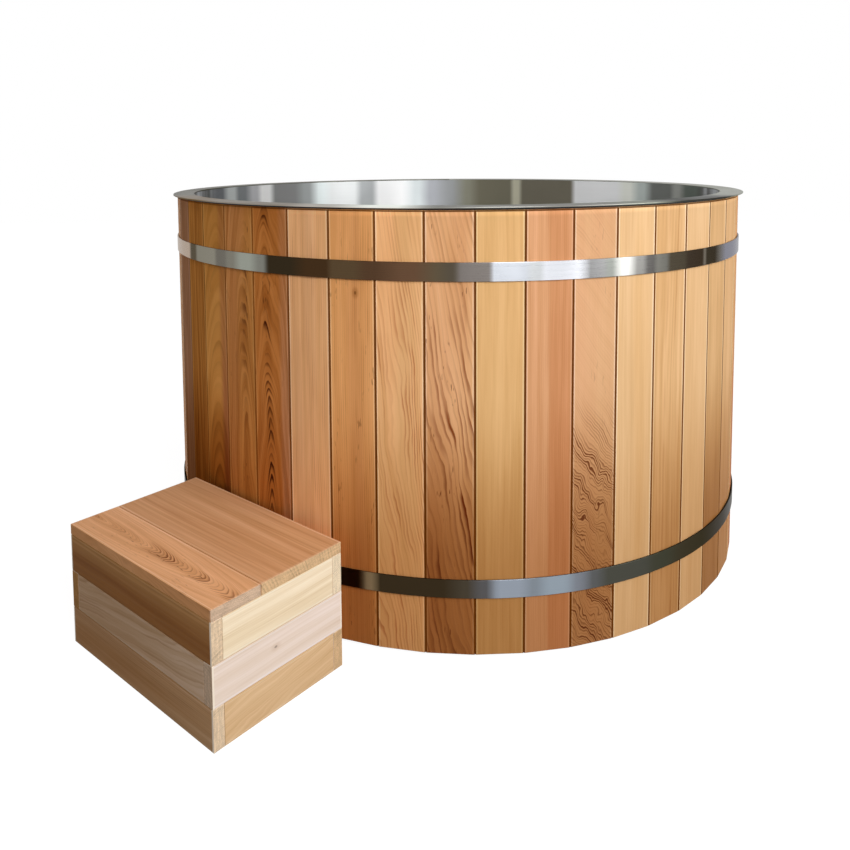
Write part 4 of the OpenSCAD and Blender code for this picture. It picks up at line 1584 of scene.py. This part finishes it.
@dataclass
class Hoops:
    """The two steel hoops with their locks, in millimetres."""

    inner: float = 762.3
    thickness: float = 3.0
    width: float = 38.0
    upper_z: float = 770.0
    lower_z: float = 127.0
    lock_turn: float = 30.0
    gap: float = 16.0
    lug_t: float = 14.0
    lug_reach: float = 30.0
    lug_bore: float = 5.3
    bolt_r: float = 5.0
    bolt_l: float = 60.0
    grip_l: float = 24.0
    head_t: float = 6.4
    nut_t: float = 8.0
    spanner: float = 17.0
    washer: Triple = (10.0, 5.2, 2.0)  # outer radius, inner radius, thickness

    @property
    def outer(self) -> float:
        """The radius of the band's outer face."""
        return self.inner + self.thickness

    def band(self, name: str, low: float, turn: float, steel: Material) -> None:
        """Builds one band that is open at its lock.

        Args:
            name: The band's CAD node.
            low: The height of its lower edge.
            turn: Where its lock is, in degrees from the back.
            steel: Its material.
        """
        section = rounded(ring_section(self.inner, self.outer, low, low + self.width), 0.9)
        opening = 2 * math.degrees(math.asin(self.gap / 2 / self.inner))
        form = Form().turned(section, steps=240, start=90 + turn + opening / 2, sweep=360 - opening)
        add(form.piece(f"{name}_band", sharp=50), "tub", "hoop_steel", steel, name)

    def lock(self, word: str, low: float, turn: float) -> None:
        """Builds a lock's lugs, bolt, washers and nut, with X along the band and Y outwards.

        Args:
            word: The hoop's name.
            low: The height of its lower edge.
            turn: Where the lock is, in degrees from the back.
        """
        place = spin("Z", turn) @ shift(0, 0, low + self.width / 2)
        steel = Steel((178, 180, 180), Brush.ALONG_X, 0.32).material(f"{word}_lock_steel")
        half = self.width / 2
        near, far = self.gap / 2, self.gap / 2 + self.lug_t
        along = shift(0, self.outer + self.lug_reach / 2, 0) @ spin("Y", 90)
        for side, hand in ((-1, "left"), (1, "right")):
            x0, x1 = sorted((side * near, side * far))
            block = box((x0, self.outer + 0.1, -half), (x1, self.outer + self.lug_reach, half))
            bore = pin(self.lug_bore, -30, 30).moved(along)
            piece = block.piece(f"{word}_lug_{hand}", ease=1.2, steps=3, place=place, cuts=[bore])
            add(piece, "tub", "hoop_steel", steel, "hoop_lugs")
            bead = self.weld(side).piece(f"{word}_weld_{hand}", sharp=60, place=place)
            add(bead, "tub", "hoop_steel", steel)
        self.bolt(word, place @ along, steel)

    def weld(self, side: int) -> Form:
        """Gives the bead of weld along a lug's foot, which stands on the band.

        Args:
            side: 1 for the right lug or -1 for the left one.

        Returns:
            The form.
        """
        x = side * (self.gap / 2 + self.lug_t)
        foot = math.sqrt(self.outer**2 - x * x)
        rings = []
        for k in range(25):
            z = (-self.width / 2 + 1.5) + (self.width - 3) * k / 24
            size = 2.2 + 0.35 * math.sin(k * 1.9)
            bead = [
                (x + side * size * math.cos(turn) * 0.9, foot - 0.3 + size * math.sin(turn), z)
                for turn in (math.pi / 2 * j / 4 for j in range(5))]
            rings.append([*bead, (x - side * 0.6, foot - 0.6, z)])
        return Form().skin(rings)

    def bolt(self, word: str, place: Matrix, steel: Material) -> None:
        """Builds the draw bolt, its washers and its nut along Z.

        Args:
            word: The hoop's name.
            place: The bolt's placement.
            steel: Their material.
        """
        start, end = -self.grip_l, self.grip_l
        outer, inner, thick = self.washer
        rod = threaded(self.bolt_r, 0, start, start + self.bolt_l, pitch=1.5, depth=0.8, steps=32)
        piece = rod.piece(f"{word}_draw_bolt", sharp=50, place=place)
        add(piece, "tub", "hoop_steel", steel, "draw_bolts")
        head = hex_body(self.spanner, 0, start - self.head_t, start)
        add(head.piece(f"{word}_bolt_head", sharp=25, place=place), "tub", "hoop_steel", steel)
        for end_word, low in (("head", start), ("nut", end - thick)):
            form = tube(outer, inner, low, low + thick, ease=0.35, steps=48)
            ring = form.piece(f"{word}_washer_{end_word}", place=place)
            add(ring, "tub", "hoop_steel", steel, "draw_washers")
        nut = hex_body(self.spanner, self.bolt_r + 0.06, end, end + self.nut_t)
        piece = nut.piece(f"{word}_draw_nut", sharp=25, place=place)
        add(piece, "tub", "hoop_steel", steel, "draw_nuts")

    def build(self) -> None:
        """Builds and dresses both hoops."""
        hoops = (
            ("upper", self.upper_z, self.lock_turn, 0.28, UPPER_PAINTED_REFLECTIONS),
            ("lower", self.lower_z, -self.lock_turn, 0.32, LOWER_PAINTED_REFLECTIONS),
        )
        for word, low, turn, rough, bands in hoops:
            # each hoop's colour carries its painted reflection bands
            steel = Steel(brush=Brush.ROUND_WALL, rough=rough, bands=bands)
            self.band(f"{word}_hoop", low, turn, steel.material(f"{word}_hoop_steel"))
        for word, low, turn, _, _ in hoops:
            self.lock(word, low, turn)


@dataclass
class Liner:
    """The steel liner's wall, floor and rim, in millimetres."""

    wall_ri: float = 718.97
    rim_z: float = 914.0
    rim_top: float = 917.0
    rim_ro: float = 773.0

    def build(self) -> None:
        """Builds and dresses the liner."""
        # the wall's and the rim's colours carry painted reflection bands
        wall = Steel(brush=Brush.ROUND_WALL, rough=0.56, drawn=0.85, bands=LINER_PAINTED_REFLECTIONS, inside=True)
        keep(wall.material("liner_wall_steel"), "liner_wall")
        floor = Steel((176, 178, 178), Brush.ROUND_RIM, 0.34)
        keep(floor.material("liner_floor_steel"), "liner_floor")
        rim = Steel(
            brush=Brush.ROUND_RIM, rough=0.32, depth=0.2, bands=RIM_PAINTED_REFLECTIONS, last=190.0, edge=0.65)
        flat = ring_section(self.wall_ri, self.rim_ro, self.rim_z, self.rim_top)
        section = rounded(flat, 1.3, steps=4)
        ring = Form().turned(section, steps=288).piece("rim_ring", sharp=60)
        add(ring, "tub", "liner_steel", rim.material("rim_steel"), "liner_rim")


@dataclass
class FloorDeck:
    """The joists, floor boards and foam under and round the liner, in millimetres."""

    board_row: float = 134.92
    board_half: float = 67.2
    joist_row: float = 240.0
    joist_half: float = 32.0

    def build(self) -> None:
        """Dresses the pieces, which keep the CAD model's shapes."""
        wood = Cedar(Tone.BUFF, Figure.STRAIGHT.but(figure=0.35), seed=81.0)
        along_y = Matrix(((1, 0, 0), (0, 0, 1), (0, 1, 0)))
        keep(wood.material("deck_cedar", self.board_half, along_y, row=self.board_row), "floor_boards")
        along_x = Matrix(((0, 1, 0), (0, 0, 1), (1, 0, 0)))
        keep(wood.material("joist_cedar", self.joist_half, along_x, row=self.joist_row), "joists")
        keep(FOAM.material("insulating_foam"), "floor_foam", "wall_foam")
        keep(RUBBER.material("seal_rubber"), "rim_seal")


@dataclass
class DrainLine:
    """The drain in the liner's floor and its pipe to the valve, in millimetres."""

    y: float = 600.0
    flange: Triple = (45.0, 143.0, 148.0)  # radius, from, to
    neck: Triple = (25.0, 19.0, 64.0)  # outer radius, inner radius, from
    strainer: Flat = (38.15, 2.0)  # radius, depth
    nut: Triple = (70.0, 79.0, 89.0)  # across the flats, from, to

    def build(self) -> None:
        """Builds and dresses the drain."""
        place = shift(0, self.y, 0)
        wide, low, high = self.flange
        outer, inner, foot = self.neck
        seat, deep = self.strainer
        corners = [
            (inner, foot), (outer, foot), (outer, low), (wide, low), (wide, high),
            (seat, high), (seat, high - deep), (inner, high - deep),
        ]
        flange = Form().turned(rounded(corners, 0.7), steps=96).piece("drain_flange", place=place)
        add(flange, "tub", "liner_steel", FITTING.material("drain_steel"), "drain_body")
        brass = BRASS.material("drain_brass")
        across, nut_low, nut_high = self.nut
        nut = hex_body(across, outer + 0.06, nut_low, nut_high)
        piece = nut.piece("drain_back_nut", sharp=25, place=place)
        add(piece, "tub", "valve_brass", brass, "drain_nut")
        keep(brass, "drain_elbow")
        keep(RUBBER.material("drain_rubber"), "drain_gasket")
        keep(replace(FITTING, brush=Brush.PLAIN).material("strainer_steel"), "drain_strainer")
        keep(replace(FITTING, brush=Brush.ALONG_X).material("pipe_steel"), "drain_pipe")


@dataclass
class BallValve:
    """The drain valve behind the tub, in millimetres from its ball's centre."""

    centre: Point = (0.0, 824.0, 42.0)
    body_r: float = 31.0
    back: float = 44.0
    front: float = 26.0
    cavity: Flat = (24.3, 20.0)  # radius, half the length
    socket: Flat = (21.26, 26.0)  # radius, where it stops
    bore: float = 12.5
    boss: Flat = (12.0, 40.0)  # radius, top
    stem_r: float = 6.2
    seal_r: float = 9.06
    outlet_hex: Flat = (58.0, 38.0)  # across the flats, end
    outlet_thread: Flat = (16.6, 58.0)  # radius, end
    lever_z: float = 42.0
    lever_t: float = 3.0
    lever_w: float = 20.0
    lever_l: float = 125.0
    eye_bore: float = 5.06
    lever_nut: float = 16.8
    grip: Triple = (50.0, 128.0, 13.0)  # from, to, radius
    ribs: int = 7

    @property
    def upright(self) -> Matrix:
        """The valve's placement, with Z up."""
        return shift(*self.centre)

    @property
    def outward(self) -> Matrix:
        """The valve's placement, with Z out along the pipe."""
        return self.upright @ spin("X", -90)

    def body(self, brass: Material) -> None:
        """Builds the valve's body and its boss.

        Args:
            brass: Their material.
        """
        r, back, front = self.body_r, self.back, self.front
        wide, cavity = self.cavity
        socket, stop = self.socket
        corners = [
            (socket, -back), (r, -back), (r, -back + 9), (r - 2.5, -back + 11), (r - 2.5, -cavity - 4),
            (r, -cavity), (r, front), (wide, front), (wide, -cavity), (self.bore, -cavity),
            (self.bore, -stop), (socket, -stop),
        ]
        form = Form().turned(rounded(corners, 1.6), steps=96)
        stem = pin(self.stem_r, 0, 40).moved(spin("X", 90))
        piece = form.piece("valve_casting", place=self.outward, cuts=[stem])
        add(piece, "tub", "valve_brass", brass, "valve_body")
        outer, top = self.boss
        corners = [
            (self.stem_r, 24), (outer + 4, 24), (outer + 2.5, 29.5), (outer, 33), (outer, top),
            (self.seal_r, top), (self.seal_r, top - 6), (self.stem_r, top - 6),
        ]
        ring = Form().turned(rounded(corners, 0.9))
        add(ring.piece("valve_boss", place=self.upright), "tub", "valve_brass", brass)

    def outlet(self, brass: Material) -> None:
        """Builds the six-sided end with its threaded outlet.

        Args:
            brass: Its material.
        """
        across, nut_end = self.outlet_hex
        outer, end = self.outlet_thread
        forms = {
            "plug": tube(self.cavity[0] - 0.06, self.bore, self.cavity[1], self.front, steps=72),
            "hexagon": hex_body(across, self.bore, self.front, nut_end),
            "thread": threaded(outer, self.bore, nut_end, end, pitch=2.3, depth=1.4),
        }
        for word, form in forms.items():
            piece = form.piece(f"outlet_{word}", sharp=25, place=self.outward)
            add(piece, "tub", "valve_brass", brass, "valve_end")

    def lever(self) -> None:
        """Builds the lever and its nut."""
        half, eye, end, ease = self.lever_w / 2, self.lever_w / 2 + 2, self.lever_l, 4
        low, high = self.lever_z, self.lever_z + self.lever_t
        start = math.asin(half / eye)
        turns = (start + (2 * math.pi - 2 * start) * k / 40 for k in range(41))
        outline = [(eye * math.cos(turn), eye * math.sin(turn)) for turn in turns]
        outline += [(end - ease, -half), (end, -half + ease), (end, half - ease), (end - ease, half)]
        form = Form().skin([[(x, y, z) for x, y in outline] for z in (low, high)])
        steel = Steel((186, 187, 186), Brush.ALONG_X).material("lever_steel")
        bore = pin(self.eye_bore, 30, 60)
        piece = form.piece("lever_blade", ease=0.5, sharp=50, place=self.upright, cuts=[bore])
        add(piece, "valve_handle", "plain_steel", steel, "valve_lever")
        self.sleeve()
        nut = hex_body(self.lever_nut, self.eye_bore, high, high + 5)
        piece = nut.piece("lever_lock_nut", sharp=25, place=self.upright)
        add(piece, "valve_handle", "plain_steel", steel, "lever_nut")
        keep(replace(FITTING, brush=Brush.PLAIN).material("ball_steel"), "valve_ball", "valve_stem")

    def sleeve(self) -> None:
        """Builds the lever's dipped grip with its finger ribs."""
        start, end, r = self.grip
        profile = [(0.0, start), (r - 3, start), (r - 1, start + 1.2), (r - 0.4, start + 3)]
        steps, swell = self.ribs * 8, 0.55
        for k in range(steps + 1):
            x = start + 8 + (end - start - 22) * k / steps
            profile.append((r - swell + swell * math.cos(2 * math.pi * k / 8), x))
        profile += [(r, end - 9), (r - 0.8, end - 4.5), (r - 3, end - 1.4), (r - 6.5, end), (0.0, end)]
        lie = shift(0, 0, self.lever_z + self.lever_t / 2) @ spin("Y", 90)
        form = Form().turned(profile, steps=56).moved(lie)
        half, free = self.lever_w / 2 + 0.06, 0.06
        slot = box(
            (start - 1, -half, self.lever_z - free),
            (self.lever_l + 0.1, half, self.lever_z + self.lever_t + free),
        )
        piece = form.piece("lever_sleeve", sharp=55, place=self.upright, cuts=[slot])
        add(piece, "valve_handle", "black_rubber", GRIP.material("grip_rubber"), "lever_grip")

    def build(self) -> None:
        """Builds and dresses the valve."""
        brass = BRASS.material("valve_brass_cast")
        self.body(brass)
        self.outlet(brass)
        self.lever()
        keep(PLASTIC.material("seat_plastic"), "valve_seats", "stem_seal")


@dataclass
class WaterPorts:
    """The suction and return ports through the wall, in millimetres from the tub's axis."""

    suction: Flat = (-165.0, 260.0)  # azimuth, height
    back: Flat = (165.0, 640.0)  # azimuth, height
    bore: float = 9.5
    thread_r: float = 16.6
    tail_r: float = 12.7
    flange: Triple = (34.0, 712.16, 716.16)  # radius, from, to
    nut: Triple = (47.2, 762.37, 772.37)  # across the flats, from, to
    thread: Flat = (744.0, 776.37)  # from, to
    tail_end: float = 812.37
    barbs: int = 5
    barb_row: float = 5.6

    def fitting(self) -> Form:
        """Gives a flanged, threaded tube with a ribbed hose tail.

        Returns:
            The form.
        """
        wide, low, high = self.flange
        start, stop = self.thread
        corners = [
            (self.bore, low), (wide, low), (wide, high), (self.thread_r, high), (self.thread_r, start),
            (self.bore, start),
        ]
        thread = threaded(self.thread_r, self.bore, start, stop, pitch=2.3, depth=1.3)
        return Form().turned(rounded(corners, 0.6), steps=72).turned(self.tail(stop)).joined(thread)

    def tail(self, start: float) -> list[Flat]:
        """Gives the section of the hose tail, with shallow barbs.

        Args:
            start: Where it starts.

        Returns:
            Its points as radius and distance.
        """
        r, end = self.tail_r, self.tail_end
        section = [(self.bore, start - 0.2), (r - 0.5, start - 0.2), (r - 0.5, start + 6)]
        for k in range(self.barbs):
            z = start + 6 + k * self.barb_row
            section += [(r - 0.7, z + 0.3), (r, z + 4.8), (r, z + 5.3)]
        tip = [(r - 0.9, end - 1), (r - 1.6, end), (self.bore + 0.5, end), (self.bore, end - 0.5)]
        return section + tip

    def build(self) -> None:
        """Builds and dresses both ports."""
        across, low, high = self.nut
        steel = FITTING.material("port_steel")
        for word, (azimuth, height) in (("suction", self.suction), ("return", self.back)):
            place = through_wall(azimuth, height)
            piece = self.fitting().piece(f"{word}_fitting", sharp=30, place=place)
            add(piece, "tub", "liner_steel", steel, f"{word}_port")
            nut = hex_body(across, self.thread_r + 0.06, low, high)
            piece = nut.piece(f"{word}_back_nut", sharp=25, place=place)
            add(piece, "tub", "liner_steel", steel, "port_nuts")
        plain = replace(FITTING, brush=Brush.PLAIN)
        keep(plain.material("cover_steel"), "suction_cover", "return_nozzle")
        keep(RUBBER.material("port_rubber"), "port_gaskets", "port_washers")


ALONG_X, ALONG_Y, UP = (1, 0, 0), (0, 1, 0), (0, 0, 1)
BACK_X, BACK_Y, DOWN = (-1, 0, 0), (0, -1, 0), (0, 0, -1)


@dataclass
class Step:
    """The loose step of cedar boards, in millimetres, with X along it and Y towards the tub."""

    length: float = 482.0
    width: float = 314.0
    course: float = 78.0
    plank_t: float = 24.0
    tread_t: float = 22.0
    front_w: float = 110.0
    gap: float = 0.4
    ease: float = 1.1
    turn: float = 36.7
    aside: float = 66.0
    standoff: float = 772.0

    @property
    def place(self) -> Matrix:
        """Where the step's left front corner stands."""
        corner = shift(self.aside - self.length / 2, -(self.standoff + self.width), 0)
        return spin("Z", -self.turn) @ corner

    def board(
        self, name: str, node: str, finish: Cedar, size: Point, origin: Point,
        axes: tuple[Point, Point, Point], arris: float = 0.12, corner: float = 0.0,
    ) -> None:
        """Builds one board with its show face outwards.

        Args:
            name: The board's name.
            node: The CAD node that it belongs to.
            finish: Its cedar.
            size: Its width, thickness and length.
            origin: The middle of its show face's starting end, in the step's frame.
            axes: Which way it runs across, deep and along, in the step's frame.
            arris: How strong the painted highlight along its long edges is.
            corner: How strong the painted highlight along its ends' edges is.
        """
        wide, deep, long = size
        form = box((-wide / 2, 0, 0), (wide / 2, deep, long))
        piece = form.piece(name, self.ease, steps=3, place=self.place @ shift(*origin) @ aligned(*axes))
        wood = finish.material(f"{name}_cedar", wide / 2, length=long, arris=arris, corner=corner)
        add(piece, "step", "step_cedar", wood, node)

    def treads(self) -> None:
        """Builds the two tread boards."""
        top = 3 * self.course + self.tread_t
        rear_w = self.width - self.front_w - 2 * self.gap
        for word, wide, middle in (
                ("front", self.front_w, self.front_w / 2), ("rear", rear_w, self.width - rear_w / 2)):
            # painted highlights along the treads' long edges and ends
            self.board(
                f"tread_{word}_board", f"tread_{word}", STEP_BOARDS[f"tread_{word}"],
                (wide, self.tread_t, self.length), (0, middle, top), (BACK_Y, DOWN, ALONG_X),
                arris=0.25, corner=0.1)

    def planks(self, course: int) -> None:
        """Builds one course's four planks, of which two run through at the corners.

        Args:
            course: The course's number, from the ground up.
        """
        inset = self.plank_t + self.gap
        long_in, end_in = (0, inset) if course % 2 == 0 else (inset, 0)
        middle = course * self.course + self.course / 2
        length, width = self.length, self.width
        sides = (
            ("long", "front", "long", length, long_in, (long_in, 0, middle), (DOWN, ALONG_Y, ALONG_X)),
            ("long", "rear", "back", length, long_in, (long_in, width, middle), (UP, BACK_Y, ALONG_X)),
            ("end", "left", "left", width, end_in, (0, end_in, middle), (UP, ALONG_X, ALONG_Y)),
            ("end", "right", "end", width, end_in, (length, end_in, middle), (DOWN, BACK_X, ALONG_Y)),
        )
        # boards that run through to the step's outer corners carry a painted highlight along their ends'
        # edges
        for kind, side, finish, full, drawn_in, origin, axes in sides:
            self.board(
                f"{kind}_plank_{side}_{course}", f"{kind}_planks", STEP_BOARDS[f"{finish}_{course}"],
                (self.course - self.gap, self.plank_t, full - 2 * drawn_in), origin, axes,
                corner=0.0 if drawn_in else 0.9)

    def build(self) -> None:
        """Builds and dresses the step."""
        self.treads()
        for course in range(3):
            self.planks(course)
        wood = Cedar(Tone.BUFF, Figure.FINE.value, seed=71.0)
        keep(wood.material("post_cedar", 1000.0), "corner_posts")
        lay = Matrix(((1, 0, 0, 0), (0, 0, -1, 0), (0, 1, 0, 0), (0, 0, 0, 1))) @ spin("Z", self.turn)
        keep(wood.material("cleat_cedar", 1000.0, lay), "tread_cleats")
        keep(SCREWS.material("screw_steel"), "post_screws", "tread_screws")


STEP_BOARDS = {
    "tread_front": Cedar(
        Tone.SIENNA,
        Figure.FLAME.but(
            pith_depth=0.012, lean_depth=0.24, spacing=0.0034, narrow=2.7, point=0.01, core=0.012,
            sway=0.012, curl=0.008, figure=1.2, streak=0.8, fleck=1.0),
        Tone.HAZEL, drift=0.5, end=Tone.SHELL, seed=51.0),
    "tread_rear": Cedar(
        Tone.HAZEL, Figure.PLAIN.but(streak=0.9), Tone.CHESTNUT, drift=0.7, end=Tone.OAT, seed=52.0),
    "long_2": Cedar(
        Tone.COCOA, Figure.STRAIGHT.but(streak=1.2), Tone.WALNUT, -0.018, 0.026, end=Tone.CHAFF,
        seed=53.0),
    "long_1": Cedar(
        Tone.SHELL, Figure.WAVY.but(figure=0.6, streak=0.8), Tone.FAWN, drift=0.6, foot=0.26,
        seed=54.0),
    "long_0": Cedar(
        Tone.FAWN, Figure.FINE.but(streak=1.0), Tone.COCOA, drift=0.5, foot=0.26, end=Tone.CHAFF,
        seed=55.0),
    "end_2": Cedar(Tone.STRAW, Figure.FINE.value, seed=56.0),
    "end_1": Cedar(Tone.CREAM, Figure.PLAIN.value, end=Tone.SHELL, knot=(-0.006, 0.142), seed=57.0),
    "end_0": Cedar(Tone.OAT, Figure.WAVY.but(figure=0.5), seed=58.0),
    "back_2": Cedar(Tone.AMBER, Figure.FINE.value, end=Tone.STRAW, seed=59.0),
    "back_1": Cedar(Tone.HONEY, Figure.FLAME.value, seed=60.0),
    "back_0": Cedar(Tone.TAN, Figure.FINE.value, end=Tone.OAT, seed=61.0),
    "left_2": Cedar(Tone.WHEAT, Figure.FINE.value, seed=62.0),
    "left_1": Cedar(Tone.ROSE, Figure.FINE.value, end=Tone.COCOA, seed=63.0),
    "left_0": Cedar(Tone.SALMON, Figure.FLAME.value, seed=64.0),
}


@dataclass(frozen=True)
class Lamp:
    """A soft square lamp, in metres and watts.

    Attributes:
        name: Its name.
        place: Where it hangs.
        aim: What it points at.
        size: Its side.
        power: Its power.
    """

    name: str
    place: Point
    aim: Point
    size: float
    power: float

    def hang(self) -> None:
        """Adds the lamp to the scene."""
        data = bpy.data.lights.new(self.name, "AREA")
        data.shape, data.size, data.energy = "SQUARE", self.size, self.power
        lamp = bpy.data.objects.new(self.name, data)
        lamp.location = self.place
        ahead = Vector(self.aim) - Vector(self.place)
        lamp.rotation_euler = ahead.to_track_quat("-Z", "Y").to_euler()
        lamp.visible_camera = False
        bpy.context.scene.collection.objects.link(lamp)


@dataclass
class Studio:
    """The floor, the light and the camera, in metres and degrees."""

    distance: float = 2.3096
    height: float = 1.0256
    pitch: float = 4.407
    yaw: float = -5.117
    roll: float = -0.536
    focal_px: float = 796.2
    centre_px: Flat = (378.2, 212.5)
    frame_px: float = 850.0
    ambient: float = 0.4
    floor_glow: float = 0.93
    floor_half: float = 9.0
    lamps: tuple[Lamp, ...] = (
        Lamp("key_lamp", (0.85, -2.7, 1.95), (0.1, -0.5, 0.7), 1.1, 36.0),
        Lamp("side_lamp", (4.33, -2.5, 1.7), (0.0, -0.4, 0.4), 2.4, 92.0),
    )

    def camera(self) -> None:
        """Places the camera where the photograph was taken from."""
        pitch, yaw, roll = (math.radians(value) for value in (self.pitch, self.yaw, self.roll))
        level = math.cos(pitch)
        ahead = Vector((math.sin(yaw) * level, math.cos(yaw) * level, -math.sin(pitch)))
        right = Vector((math.cos(yaw), -math.sin(yaw), 0))
        up = right.cross(ahead)
        side = right * math.cos(roll) + up * math.sin(roll)
        head = up * math.cos(roll) - right * math.sin(roll)
        lens = bpy.data.cameras.new("photo_camera")
        lens.sensor_width = 36.0
        lens.lens = self.focal_px / self.frame_px * lens.sensor_width
        lens.shift_x = (self.frame_px / 2 - self.centre_px[0]) / self.frame_px
        lens.shift_y = (self.centre_px[1] - self.frame_px / 2) / self.frame_px
        lens.clip_end = 100.0
        camera = bpy.data.objects.new("photo_camera", lens)
        stand = Matrix.Translation((0, -self.distance, self.height))
        camera.matrix_world = stand @ aligned(side, head, -ahead)
        bpy.context.scene.collection.objects.link(camera)
        bpy.context.scene.camera = camera

    def seen(self, g: Graph) -> Socket:
        """Gives 1 for camera, mirror and glass rays, and 0 for the light on the object.

        Args:
            g: The graph that asks.

        Returns:
            The value.
        """
        path = g.add("ShaderNodeLightPath")
        seen = g.maths("MAXIMUM", path.outputs["Is Camera Ray"], path.outputs["Is Glossy Ray"])
        return g.maths("MAXIMUM", seen, path.outputs["Is Transmission Ray"])

    def world(self) -> None:
        """Makes the plain white surroundings, which light the object more weakly than they show."""
        world = bpy.data.worlds.new("studio")
        world.use_nodes = True
        g = Graph(world.node_tree)
        sky = world.node_tree.nodes["Background"]
        strength = g.fold(self.seen(g), 1.0 - self.ambient, self.ambient)
        g.put(sky, {"Color": WHITE, "Strength": strength})
        bpy.context.scene.world = world

    def floor(self) -> None:
        """Makes the pale floor, which shows white and keeps the object's soft shadow."""
        half = self.floor_half / MM
        plane = box((-half, -half, -20), (half, half, 0)).piece("studio_floor")
        material, g, shader = new_material("studio_floor_paint")
        tint = g.noise(g.add("ShaderNodeTexCoord").outputs["Object"], (3, 3, 3)).outputs[0]
        pale = g.fold(tint, 0.01, 0.2)
        glow = g.times(self.seen(g), self.floor_glow)
        g.put(shader, {
            "Base Color": g.join(pale, pale, pale), "Roughness": 0.9, "Specular IOR Level": 0.0,
            "Emission Color": WHITE, "Emission Strength": glow,
        })
        plane.data.materials.append(material)

    def build(self) -> None:
        """Builds the studio."""
        bpy.context.scene.view_settings.view_transform = "Standard"
        self.camera()
        self.world()
        self.floor()
        for lamp in self.lamps:
            lamp.hang()


def main() -> None:
    """Builds the studio and every sub-assembly."""
    logging.basicConfig(level=logging.INFO, format="%(message)s")
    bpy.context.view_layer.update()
    for part in (Studio, StaveWall, Hoops, Liner, FloorDeck, DrainLine, BallValve, WaterPorts, Step):
        part().build()


if __name__ == "__main__":
    main()
